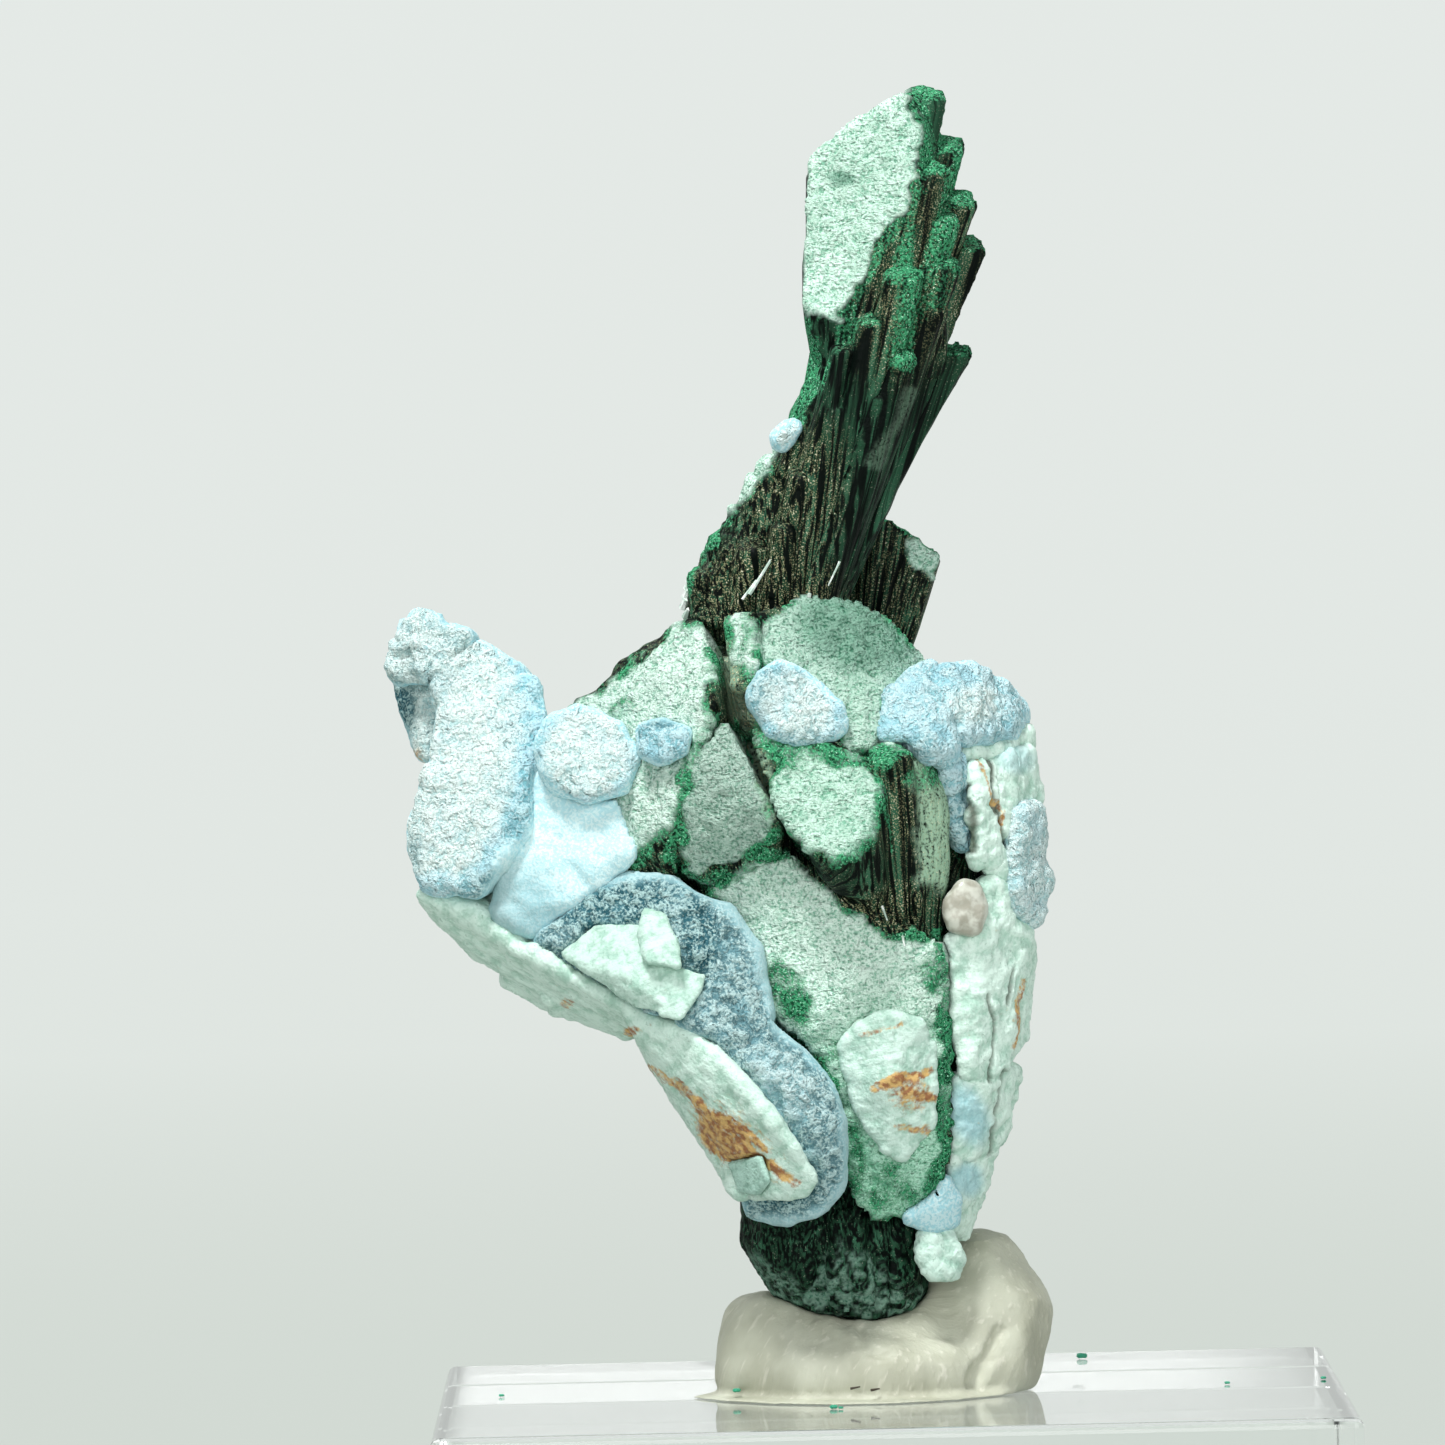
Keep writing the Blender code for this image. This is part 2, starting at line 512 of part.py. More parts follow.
def right_edge_forms():
    """Two small lobes on the specimen's right edge."""
    return [
        lump(
            (5.7, -4.2, 24.0), (6.4, -3.0, 24.3), (6.6, -2.6, 22.6), (5.6, -4.3, 22.4), (4.8, -1.4, 23.2),
            round_by=0.35,
        ),
        lump(
            (5.5, -4.3, 22.5), (6.5, -2.7, 22.5), (6.8, -2.8, 21.2), (6.3, -3.2, 19.8), (5.6, -4.1, 20.3),
            (4.8, -1.6, 21.4), round_by=0.35,
        ),
    ]


def wedge_forms():
    """The smooth blue wedge at the foot of the apron."""
    return [
        lump(
            (0.8, -5.1, 7.4), (1.4, -5.2, 8.4), (2.3, -4.9, 8.7), (2.7, -4.5, 8.0), (2.6, -4.3, 7.2),
            (1.9, -4.6, 6.9), (1.7, -3.0, 7.8), round_by=0.2,
        )
    ]


def bead_forms():
    """A bead that sits on the plume's left edge."""
    return [lump((-3.65, -1.9, 40.0), (-3.2, -2.1, 40.5), (-3.2, -1.2, 40.1), round_by=0.42)]


def back_lobe_forms():
    """The lobes on the specimen's back, one list for each."""
    left = lump(
        (-11.2, 5.2, 24.6), (-9.0, 7.2, 24.4), (-7.4, 8.4, 22.4), (-7.2, 7.8, 19.6), (-9.4, 6.6, 18.2),
        (-12.4, 4.8, 20.2), (-12.6, 4.2, 22.8), (-9.0, 3.6, 21.6), round_by=0.7,
    )
    left_step = lump(
        (-12.6, 2.6, 28.2), (-11.0, 5.0, 27.0), (-11.4, 5.0, 24.8), (-14.0, 2.8, 24.4), (-14.0, 2.4, 26.8),
        (-11.4, 2.4, 26.0), round_by=0.7,
    )
    right = lump(
        (2.6, 6.6, 29.0), (4.2, 5.0, 28.2), (5.0, 4.8, 25.0), (4.2, 6.2, 22.6), (2.4, 8.4, 24.0),
        (1.8, 8.4, 26.8), (3.0, 4.4, 26.0), round_by=0.6,
    )
    lower = lump(
        (-4.6, 6.6, 14.6), (-2.0, 7.6, 15.8), (0.4, 7.4, 14.4), (0.6, 6.2, 11.4), (-2.0, 5.8, 10.2),
        (-4.4, 5.6, 11.6), (-1.8, 4.6, 13.0), round_by=0.6,
    )
    oval = lump(
        (-3.8, 8.5, 29.4), (-2.0, 8.6, 29.6), (-1.2, 8.8, 28.0), (-2.4, 9.0, 27.0), (-4.0, 8.8, 27.6),
        (-2.6, 6.8, 28.4), round_by=0.35,
    )
    return {"left": [left, left_step], "right": [right], "lower": [lower], "oval": [oval]}


def left_crust_forms():
    """The pale crust on the specimen's left flank, which faces down and to the left, and turns to the back."""
    upper = lump(
        (-19.1, -4.4, 21.3), (-17.0, -5.0, 20.5), (-15.2, -5.3, 19.1), (-15.9, -2.6, 18.2), (-17.0, -1.0, 18.8),
        (-18.7, -0.6, 20.8), (-16.4, 1.6, 23.0), (-14.0, 0.0, 22.4), round_by=0.15,
    )
    middle = lump(
        (-15.3, -5.4, 19.0), (-13.6, -5.9, 18.7), (-11.5, -6.6, 17.1), (-10.2, -7.1, 16.2),
        (-10.6, -3.6, 15.3), (-12.3, -2.2, 16.3), (-13.8, -1.4, 16.5), (-15.7, -1.2, 17.6),
        (-15.4, 1.8, 20.0), (-11.6, 2.4, 19.8), round_by=0.15,
    )
    long_slope = lump(
        (-10.6, -6.9, 16.2), (-8.3, -7.8, 15.3), (-7.0, -8.4, 14.3), (-5.7, -8.9, 12.7),
        (-4.6, -9.0, 11.3), (-5.3, -7.9, 9.6), (-7.0, -5.8, 9.9), (-8.2, -3.4, 12.4), (-9.9, -2.8, 14.8),
        (-8.8, 2.6, 15.8), (-6.0, 1.4, 12.4), (-6.4, -1.0, 16.0), round_by=0.15,
    )
    lower_plate = lump(
        (-5.3, -8.9, 12.2), (-3.9, -8.9, 10.3), (-3.1, -8.5, 8.9), (-3.6, -8.1, 8.5), (-5.0, -7.7, 8.5),
        (-6.2, -6.4, 8.5), (-7.0, -5.6, 9.9), (-5.6, 0.0, 10.4), (-4.6, -3.6, 12.0), round_by=0.15,
    )
    back_slope = lump(
        (-16.6, 1.0, 22.6), (-16.0, 3.0, 27.0), (-12.8, 4.0, 23.0), (-11.0, 4.8, 18.4), (-8.4, 4.2, 14.6),
        (-12.8, 1.0, 17.6), (-15.2, 0.6, 19.4), (-11.0, 1.0, 22.0), (-12.0, 1.2, 26.4), round_by=0.15,
    )
    spur_upper = lump(
        (-15.8, -3.0, 18.2), (-15.6, -1.4, 17.5), (-14.9, -2.2, 17.6), (-14.7, -3.4, 18.6), round_by=0.12
    )
    spur_lower = lump(
        (-14.0, -3.4, 16.9), (-13.7, -2.4, 16.3), (-12.8, -2.8, 16.4), (-12.8, -4.2, 17.4), round_by=0.12
    )
    return [long_slope, middle, upper, lower_plate, back_slope, spur_upper, spur_lower]


def cracked_crust_forms():
    """The pale, cracked crust under the right lobe: upright plates side by side."""
    inner_plate = lump(
        (3.9, -5.3, 26.0), (4.5, -4.9, 26.3), (4.7, -4.8, 22.2), (4.0, -5.2, 22.1), (3.8, -5.6, 24.2),
        (3.8, -1.0, 24.4), round_by=0.12,
    )
    middle_plate = lump(
        (4.6, -4.6, 26.2), (5.5, -3.8, 26.5), (5.4, -4.2, 24.0), (5.1, -4.5, 21.6), (4.5, -4.7, 22.0),
        (4.2, -1.0, 24.2), round_by=0.12,
    )
    outer_plate = lump(
        (5.4, -3.8, 26.6), (6.2, -2.6, 26.8), (6.5, -1.8, 24.8), (5.5, -3.8, 24.2), (6.2, 0.6, 24.6),
        (5.0, 2.0, 25.6), (4.4, 1.0, 22.6), round_by=0.12,
    )
    brow = lump(
        (3.6, -5.0, 26.8), (5.2, -3.8, 27.0), (6.2, -2.0, 27.8), (6.3, -1.6, 27.0), (5.0, -3.6, 26.3),
        (4.6, 0.0, 26.8), round_by=0.12,
    )
    return [middle_plate, inner_plate, outer_plate, brow]


def right_crust_forms():
    """The pale crust down the right flank: three plates that overlap like shingles."""
    upper_plate = lump(
        (2.95, -5.4, 19.0), (4.2, -5.3, 19.3), (5.9, -3.6, 19.3), (6.1, -2.4, 18.0), (5.7, -2.4, 15.0),
        (4.7, -4.2, 13.4), (3.4, -5.2, 13.3), (3.0, -5.3, 16.0), (4.4, 2.0, 18.0), (4.2, 2.0, 14.6),
        round_by=0.15,
    )
    collar = lump(
        (4.3, -5.0, 21.2), (5.1, -4.4, 21.3), (6.2, -2.2, 19.8), (5.6, -4.0, 19.2), (4.3, -5.2, 19.4),
        (4.6, 1.6, 20.6), round_by=0.15,
    )
    middle_plate = lump(
        (2.9, -5.0, 13.0), (4.2, -4.5, 13.2), (5.5, -2.2, 13.4), (4.8, -2.2, 10.6), (3.4, -4.2, 9.8),
        (2.8, -4.7, 10.2), (3.6, 1.6, 12.4), round_by=0.15,
    )
    lower_plate = lump(
        (2.7, -4.6, 9.8), (4.3, -2.6, 10.2), (3.7, -2.2, 8.0), (3.1, -2.4, 6.6), (2.7, -3.3, 6.9),
        (2.8, -4.0, 8.4), (2.4, 0.8, 8.8), round_by=0.15,
    )
    return [upper_plate, collar, middle_plate, lower_plate]


def pale_chip_forms():
    """The pale broken mass on the lower lobe, with a table-like plate standing out of it."""
    field = lump(
        (-13.2, -6.3, 18.7), (-11.8, -6.5, 19.7), (-10.2, -7.2, 19.7), (-9.0, -8.0, 18.2),
        (-8.8, -8.6, 16.2), (-10.2, -8.0, 16.5), (-12.2, -7.1, 18.0), (-10.6, -8.3, 17.7),
        (-10.4, -6.0, 18.2), round_by=0.1,
    )
    wing = lump(
        (-9.2, -8.2, 18.0), (-7.5, -8.2, 17.6), (-7.7, -8.4, 17.1), (-8.5, -8.8, 15.9), (-9.2, -8.5, 16.1),
        (-8.6, -6.6, 17.0), round_by=0.1,
    )
    table = lump(
        (-10.0, -7.8, 19.4), (-9.8, -7.5, 20.4), (-9.1, -7.6, 20.2), (-8.6, -8.3, 18.9),
        (-8.5, -8.8, 18.1), (-9.7, -8.8, 18.3), (-9.4, -6.4, 18.7), round_by=0.08,
    )
    return [field, wing, table]


def small_chip_forms():
    """A single clear-edged chip on the lower end of the left crust."""
    return [
        lump(
            (-6.5, -6.9, 9.7), (-5.3, -8.4, 9.9), (-5.0, -8.5, 9.0), (-5.4, -7.9, 8.5), (-6.1, -7.0, 8.6),
            (-5.4, -6.4, 9.2), round_by=0.06,
        )
    ]


def stained_patch_forms():
    """The pale patch set in the apron."""
    return [
        lump(
            (-1.8, -6.7, 14.5), (-1.1, -6.9, 15.3), (0.1, -7.1, 15.8), (1.4, -6.7, 15.4), (1.9, -6.3, 14.4),
            (1.9, -6.2, 12.6), (1.7, -6.0, 11.2), (0.6, -6.1, 9.9), (0.0, -6.3, 10.2), (-1.2, -6.6, 12.0),
            (0.2, -7.3, 13.2), (0.2, -5.0, 13.0), round_by=0.12,
        )
    ]


def grain_forms():
    """A single rounded grain of quartz at the corner of the right crust."""
    return [
        lump(
            (3.4, -5.9, 21.0), (2.9, -5.9, 20.4), (3.1, -5.9, 19.6), (3.7, -5.8, 19.5), (4.0, -5.7, 20.2),
            (3.7, -5.7, 21.0), (3.4, -4.8, 20.2), round_by=0.3,
        )
    ]


def foot_crystal_forms():
    """The pale sugary lump beside the foot."""
    return [
        lump(
            (1.6, -4.6, 6.4), (1.5, -4.8, 5.6), (1.9, -4.8, 5.0), (2.5, -4.4, 5.0), (2.7, -4.2, 5.6),
            (2.4, -4.2, 6.4), (2.2, -2.4, 5.8), round_by=0.28,
        )
    ]


def putty_forms():
    """The putty: a flat film on the block, a low mound under the foot and a higher hump at the right."""
    film = lump(
        *ring((-1.1, -0.6, 0.3), 6.3, 14), (-8.2, -1.4, 0.3), (-7.0, -3.6, 0.3), (5.0, -3.2, 0.3),
        round_by=0.2, as_seen=False,
    )
    left_mound = lump(
        *ring((-4.2, -0.8, 1.0), 1.9, 7), *ring((-4.7, -0.6, 2.9), 1.0, 6), *ring((-0.4, -1.2, 1.0), 3.6, 8),
        round_by=1.3, as_seen=False,
    )
    middle_mound = lump(
        *ring((-1.4, -0.8, 1.0), 4.0, 9), *ring((-1.0, 0.8, 3.0), 2.6, 8), (2.4, -1.2, 3.2), (2.6, 2.2, 3.6),
        round_by=1.1, as_seen=False,
    )
    right_hump = lump(
        *ring((3.0, -0.8, 1.2), 1.7, 8), *ring((3.9, -0.2, 3.3), 1.3, 7), *ring((3.6, 0.0, 5.0), 0.5, 5),
        round_by=1.6, as_seen=False,
    )
    return [film, left_mound, middle_mound, right_hump]


def block_top_forms():
    """The upper part of the block, which the putty is cut back from."""
    half = BLOCK_SIDE / 2
    return [lump(*product((-half, half), (-half, half), (-BLOCK_HEIGHT / 2, 0.0)), as_seen=False)]


def acrylic_block():
    """The clear block: a square slab with lightly rounded edges."""
    bm = bmesh.new()
    bmesh.ops.create_cube(bm, size=1.0)
    bmesh.ops.scale(bm, vec=Vector((BLOCK_SIDE, BLOCK_SIDE, BLOCK_HEIGHT)), verts=bm.verts)
    bmesh.ops.translate(bm, vec=Vector((0, 0, BLOCK_HEIGHT / 2)), verts=bm.verts)
    bmesh.ops.bevel(
        bm, geom=bm.edges, offset=BLOCK_EDGE, segments=3, profile=0.5, affect="EDGES", material=-1
    )
    block = mesh_object("acrylic_block", bm)
    block.data.materials.append(material("acrylic", (0.90, 0.94, 0.92), 0.05, transmission=1.0, ior=1.49))
    return block


for old in list(bpy.data.objects):
    bpy.data.objects.remove(old)

seat = bpy.data.objects.new("block_top", None)
seat.location = (0, 0, BLOCK_HEIGHT * MM)
bpy.context.scene.collection.objects.link(seat)

malachite = material("malachite", (0.05, 0.22, 0.12), 0.45)
chrysocolla = material("chrysocolla", (0.55, 0.75, 0.82), 0.75)
pale_crust = material("pale_crust", (0.70, 0.84, 0.77), 0.70)
quartz = material("quartz", (0.78, 0.78, 0.74), 0.35)
putty_clay = material("putty", (0.72, 0.72, 0.64), 0.65)

# The slices that are set in the malachite come before it, because it is cut back round them.
growth("chrysocolla_oval", chrysocolla, oval_forms())
growth("stained_patch", pale_crust, stained_patch_forms())
growth("chrysocolla_small_slice", chrysocolla, small_slice_forms())
set_in = ["chrysocolla_oval", "stained_patch", "chrysocolla_small_slice"]
growth("malachite_mass", malachite, malachite_mass_forms(), set_in)
growth("malachite_plume", malachite, plume_forms(), ["malachite_mass"])
growth("malachite_back_fan", malachite, back_fan_forms(), ["malachite_mass", "malachite_plume"])
growth("malachite_foot", malachite, foot_forms(), ["malachite_mass"])

sprays = ["malachite_mass", "malachite_plume", "malachite_back_fan", "malachite_foot"]
before = sprays + set_in
growth("chrysocolla_round_slice", chrysocolla, round_slice_forms(), before)
before.append("chrysocolla_round_slice")
growth("chrysocolla_left_lobe", chrysocolla, left_lobe_forms(), before)
before.append("chrysocolla_left_lobe")
growth("pale_chip", pale_crust, pale_chip_forms(), before)
growth("small_chip", pale_crust, small_chip_forms(), before)
before += ["pale_chip", "small_chip"]
growth("chrysocolla_lower_lobe", chrysocolla, lower_lobe_forms(), before)
before.append("chrysocolla_lower_lobe")
growth("chrysocolla_right_lobe", chrysocolla, right_lobe_forms(), before)
before.append("chrysocolla_right_lobe")
growth("chrysocolla_right_edge", chrysocolla, right_edge_forms(), before)
before.append("chrysocolla_right_edge")
growth("chrysocolla_bead", chrysocolla, bead_forms(), before)
growth("quartz_grain", quartz, grain_forms(), before)
before += ["chrysocolla_bead", "quartz_grain"]
for side, forms in back_lobe_forms().items():
    growth(f"chrysocolla_back_{side}", chrysocolla, forms, before)
    before.append(f"chrysocolla_back_{side}")
growth("cracked_crust", pale_crust, cracked_crust_forms(), before)
before.append("cracked_crust")
growth("chrysocolla_wedge", chrysocolla, wedge_forms(), before)
before.append("chrysocolla_wedge")
growth("right_crust", pale_crust, right_crust_forms(), before)
before.append("right_crust")
growth("left_crust", pale_crust, left_crust_forms(), before)
before.append("left_crust")
growth("foot_crystal", pale_crust, foot_crystal_forms(), before)
before.append("foot_crystal")

acrylic_block()
lumps_of["acrylic_block"] = block_top_forms()
putty = growth("mounting_putty", putty_clay, putty_forms(), [*before, "acrylic_block"])
putty.data.shade_smooth()
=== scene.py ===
"""A small malachite and chrysocolla specimen, pressed into putty on a clear block and softly lit.

Run it in Blender. Shapes are worked out in millimetres from the middle of the block's top, and are placed in
the frame in metres. Outlines are given as (across, height) where they appear from the front, slightly above.
"""

import math

from itertools import product

import bmesh
import bpy
import numpy as np
from mathutils import Matrix, Vector


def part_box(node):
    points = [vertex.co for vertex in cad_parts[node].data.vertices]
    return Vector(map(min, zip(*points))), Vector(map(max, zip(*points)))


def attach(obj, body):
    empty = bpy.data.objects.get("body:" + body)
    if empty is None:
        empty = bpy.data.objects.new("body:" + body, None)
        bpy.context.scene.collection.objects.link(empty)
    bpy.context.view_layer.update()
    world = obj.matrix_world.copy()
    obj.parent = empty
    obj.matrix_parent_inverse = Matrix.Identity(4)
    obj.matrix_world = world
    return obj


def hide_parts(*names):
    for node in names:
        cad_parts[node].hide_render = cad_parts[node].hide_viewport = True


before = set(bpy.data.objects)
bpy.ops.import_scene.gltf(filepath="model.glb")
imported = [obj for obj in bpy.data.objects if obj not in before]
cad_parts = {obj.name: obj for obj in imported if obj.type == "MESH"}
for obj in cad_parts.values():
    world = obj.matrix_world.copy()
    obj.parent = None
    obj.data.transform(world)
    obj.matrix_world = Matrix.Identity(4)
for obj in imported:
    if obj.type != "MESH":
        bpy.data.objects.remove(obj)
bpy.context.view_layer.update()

# The malachite mass. Fibres of green copper carbonate grew out from a few roots and ended in slanted caps.
# Each cap carries a sugary crust of pale mint crystals with a velvet of emerald tips round its rim, and the
# breaks between the caps show the dark, silky fibres side on.

MM = 0.001
EYE_HEIGHT = 46.5
EYE_DISTANCE = 580.0
FRONT = np.array((0.0, -1.0, 0.08))
CRYSTAL_SIZE = 0.36
block_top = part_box("acrylic_block")[1].z


def regrown(node, name, voxel):
    """A new piece with a solid's shape in fine, even faces, in millimetres from the block's top."""
    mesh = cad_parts[node].data.copy()
    bm = bmesh.new()
    bm.from_mesh(mesh)
    bmesh.ops.translate(bm, vec=Vector((0, 0, -block_top)), verts=bm.verts)
    bmesh.ops.scale(bm, vec=Vector((1 / MM, 1 / MM, 1 / MM)), verts=bm.verts)
    bmesh.ops.remove_doubles(bm, verts=bm.verts, dist=0.001)
    bm.to_mesh(mesh)
    bm.free()
    mesh.materials.clear()
    piece = bpy.data.objects.new(name, mesh)
    bpy.context.scene.collection.objects.link(piece)
    remesh = piece.modifiers.new("even faces", "REMESH")
    remesh.mode = "VOXEL"
    remesh.voxel_size = voxel
    graph = bpy.context.evaluated_depsgraph_get()
    piece.data = bpy.data.meshes.new_from_object(piece.evaluated_get(graph))
    piece.modifiers.clear()
    return piece


def points_of(piece):
    """The piece's points, and the outward direction at each."""
    count = len(piece.data.vertices)
    points = np.empty(3 * count, np.float32)
    outward = np.empty(3 * count, np.float32)
    piece.data.vertices.foreach_get("co", points)
    piece.data.vertices.foreach_get("normal", outward)
    return points.reshape(-1, 3).astype(float), outward.reshape(-1, 3).astype(float)


def softened(piece, rounds):
    """Rounds the piece's corners by pulling each point towards its neighbours."""
    bm = bmesh.new()
    bm.from_mesh(piece.data)
    for _ in range(rounds):
        bmesh.ops.smooth_vert(
            bm, verts=bm.verts, factor=0.5, use_axis_x=True, use_axis_y=True, use_axis_z=True
        )
    bm.to_mesh(piece.data)
    bm.free()
    return piece


def seen(points):
    """Where the points appear to an eye in front of the specimen and above the block: across and up."""
    x, y, z = points.T
    return x, z + (EYE_HEIGHT - z) / EYE_DISTANCE * y


def step(values, low, high):
    """A smooth step from 0 at low to 1 at high."""
    t = np.clip((values - low) / (high - low), 0, 1)
    return t * t * (3 - 2 * t)


def unit(vectors):
    """The vectors at length 1."""
    return vectors / np.maximum(np.linalg.norm(vectors, axis=1, keepdims=True), 1e-9)


def grain(points, size, seed=0):
    """Smooth random values from about -1 to 1 at the points, with bumps of the given size."""
    scaled = points / size
    cell = np.floor(scaled).astype(np.int64)
    inner = scaled - cell
    weight = inner**3 * (inner * (inner * 6 - 15) + 10)
    total = np.zeros(len(points))
    for corner in product((0, 1), repeat=3):
        at = cell + np.array(corner)
        mixed = (at[:, 0] * 73856093) ^ (at[:, 1] * 19349663) ^ (at[:, 2] * 83492791) ^ (seed * 40503)
        mixed = ((mixed ^ (mixed >> 15)) * 2246822519) & 0xFFFFFFFF
        mixed = ((mixed ^ (mixed >> 13)) * 3266489917) & 0xFFFFFFFF
        mixed ^= mixed >> 16
        slope = np.stack((mixed & 1023, (mixed >> 10) & 1023, (mixed >> 20) & 1023), 1) / 511.5 - 1
        share = np.where(np.array(corner) == 1, weight, 1 - weight).prod(axis=1)
        total += share * (slope * (inner - np.array(corner))).sum(axis=1)
    return 1.7 * total


def rough(points, size, octaves=3, seed=0):
    """Random relief with detail at several sizes, each half the last."""
    return sum(grain(points, size / 2**k, seed + k) / 2**k for k in range(octaves))


def sugar(points, size):
    """The relief of a crust of small crystals, from 0 in the seams to 1 on the crystals."""
    return np.clip(0.5 + 0.6 * rough(points, size, 3, 7), 0, 1)


def frayed(points, ragged):
    """Where the points appear, shifted by up to this much, so that a boundary drawn with them is ragged."""
    across, up = seen(points)
    return across + ragged * rough(points, 1.1, 3, 5), up + ragged * rough(points, 1.1, 3, 9)


def gap_to(across, up, path):
    """The distance in millimetres from a path of straight stretches."""
    nearest = np.full(len(across), np.inf)
    for (ax, az), (bx, bz) in zip(path, path[1:]):
        dx, dz = bx - ax, bz - az
        t = np.clip(((across - ax) * dx + (up - az) * dz) / (dx * dx + dz * dz), 0, 1)
        nearest = np.minimum(nearest, np.hypot(across - ax - t * dx, up - az - t * dz))
    return nearest


def inside(points, outline, ragged=0.2):
    """How far inside an outline each point appears, in millimetres, negative outside, with a ragged edge."""
    across, up = frayed(points, ragged)
    loop = outline + outline[:1]
    within = np.zeros(len(points), bool)
    for (ax, az), (bx, bz) in zip(loop, loop[1:]):
        if az != bz:
            within ^= ((az > up) != (bz > up)) & (across < ax + (up - az) * (bx - ax) / (bz - az))
    nearest = gap_to(across, up, loop)
    return np.where(within, nearest, -nearest)


def stripe(points, path, width, ragged=0.12):
    """1 along a path as it appears, falling to 0 at this distance from it."""
    return 1 - step(gap_to(*frayed(points, ragged), path), 0.3 * width, width)


def oval(points, centre, radii, turn=0.0):
    """0 at the centre of an oval as it appears, and 1 at its edge. The turn is in degrees."""
    across, up = seen(points)
    c, s = math.cos(math.radians(turn)), math.sin(math.radians(turn))
    dx, dz = across - centre[0], up - centre[1]
    return np.hypot((dx * c + dz * s) / radii[0], (dz * c - dx * s) / radii[1])


def spot(points, centre, radii, turn=0.0):
    """1 in the middle of an oval, falling to 0 at its edge."""
    return 1 - step(oval(points, centre, radii, turn), 0.4, 1.0)


def most(values):
    """The greatest of several lists of values, point by point."""
    return np.maximum.reduce(list(values))


def paint(piece, **fields):
    """Stores a value at every point under each name, for the material to read."""
    for name, values in fields.items():
        vector = values.ndim == 2
        layer = piece.data.attributes.new(name, "FLOAT_VECTOR" if vector else "FLOAT", "POINT")
        layer.data.foreach_set("vector" if vector else "value", values.astype(np.float32).ravel())


def settle(piece, points, look, node):
    """Puts the piece in its node's place in the frame, in metres, with its material."""
    mesh = piece.data
    mesh.vertices.foreach_set("co", (points * MM + (0, 0, block_top)).astype(np.float32).ravel())
    mesh.update()
    mesh.shade_smooth()
    mesh.materials.clear()
    mesh.materials.append(look)
    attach(piece, "root")
    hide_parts(node)


def linear(code):
    """A colour written as six hex digits, as linear red, green, blue and alpha."""
    parts = [int(code[i : i + 2], 16) / 255 for i in (0, 2, 4)]
    return (*(p / 12.92 if p <= 0.04045 else ((p + 0.055) / 1.055) ** 2.4 for p in parts), 1.0)


class Value:
    """A number or colour in a material, which Python's operators combine."""

    def __init__(self, look, socket):
        self.look = look
        self.socket = socket

    def maths(self, operation, *others):
        """A Math node on these values and numbers."""
        return self.look.node("ShaderNodeMath", {"operation": operation}, dict(enumerate(others)))

    def __add__(self, other):
        return self.maths("ADD", self, other)

    def __radd__(self, other):
        return self.maths("ADD", other, self)

    def __sub__(self, other):
        return self.maths("SUBTRACT", self, other)

    def __rsub__(self, other):
        return self.maths("SUBTRACT", other, self)

    def __mul__(self, other):
        return self.maths("MULTIPLY", self, other)

    def __rmul__(self, other):
        return self.maths("MULTIPLY", other, self)


class Look:
    """A Principled material, built from values."""

    def __init__(self, name):
        self.material = bpy.data.materials.new(name)
        self.material.use_nodes = True
        self.tree = self.material.node_tree
        self.shader = self.tree.nodes["Principled BSDF"]
        self.place = self.node("ShaderNodeTexCoord", output="Object")

    def put(self, socket, value):
        """Feeds a socket with a value or sets it to a constant."""
        if isinstance(value, Value):
            self.tree.links.new(value.socket, socket)
        else:
            socket.default_value = value

    def node(self, kind, settings=None, inputs=None, output=0):
        """Any node: its type, its settings, its inputs by name or number, and the output to use."""
        made = self.tree.nodes.new(kind)
        for key, value in (settings or {}).items():
            setattr(made, key, value)
        for key, value in (inputs or {}).items():
            self.put(made.inputs[key], value)
        return Value(self, made.outputs[output])

    def field(self, name, output="Fac"):
        """A value painted on the piece."""
        return self.node("ShaderNodeAttribute", {"attribute_name": name}, output=output)

    def noise(self, size, detail=2.0, place=None, unit_size=MM):
        """Cloudy noise from 0 to 1 with features of this many millimetres."""
        inputs = {"Vector": place or self.place, "Scale": 1 / (size * unit_size), "Detail": detail}
        return self.node("ShaderNodeTexNoise", {}, inputs)

    def cells(self, size, output="Distance"):
        """Voronoi cells of this many millimetres."""
        return self.node("ShaderNodeTexVoronoi", {}, {"Vector": self.place, "Scale": 1 / (size * MM)}, output)

    def shingles(self, size, turn, stretch=2.4):
        """Noise in short rows, which lean by this many degrees as they appear from the front."""
        inputs = {"Vector": self.place, "Rotation": (0, math.radians(turn), 0), "Scale": (1, 1, stretch)}
        return self.noise(size, 2.0, self.node("ShaderNodeMapping", {}, inputs))

    def ramp(self, value, low, high):
        """A smooth step from 0 at low to 1 at high."""
        inputs = {0: value, 1: low, 2: high}
        return self.node("ShaderNodeMapRange", {"interpolation_type": "SMOOTHSTEP"}, inputs)

    def mix(self, share, first, second):
        """The first colour, or the second where the share is 1. A colour may be six hex digits."""
        first, second = (linear(c) if isinstance(c, str) else c for c in (first, second))
        return self.node("ShaderNodeMix", {"data_type": "RGBA"}, {0: share, 6: first, 7: second}, 2)

    def bump(self, height, depth, strength=1.0, under=None):
        """Small relief of this many millimetres, over any relief given before it."""
        inputs = {"Height": height, "Distance": depth * MM, "Strength": strength}
        if under:
            inputs["Normal"] = under
        return self.node("ShaderNodeBump", {}, inputs)

    def surface(self, **inputs):
        """Feeds the shader's inputs, named with underscores, and returns the material."""
        for key, value in inputs.items():
            self.put(self.shader.inputs[key.replace("_", " ")], value)
        return self.material


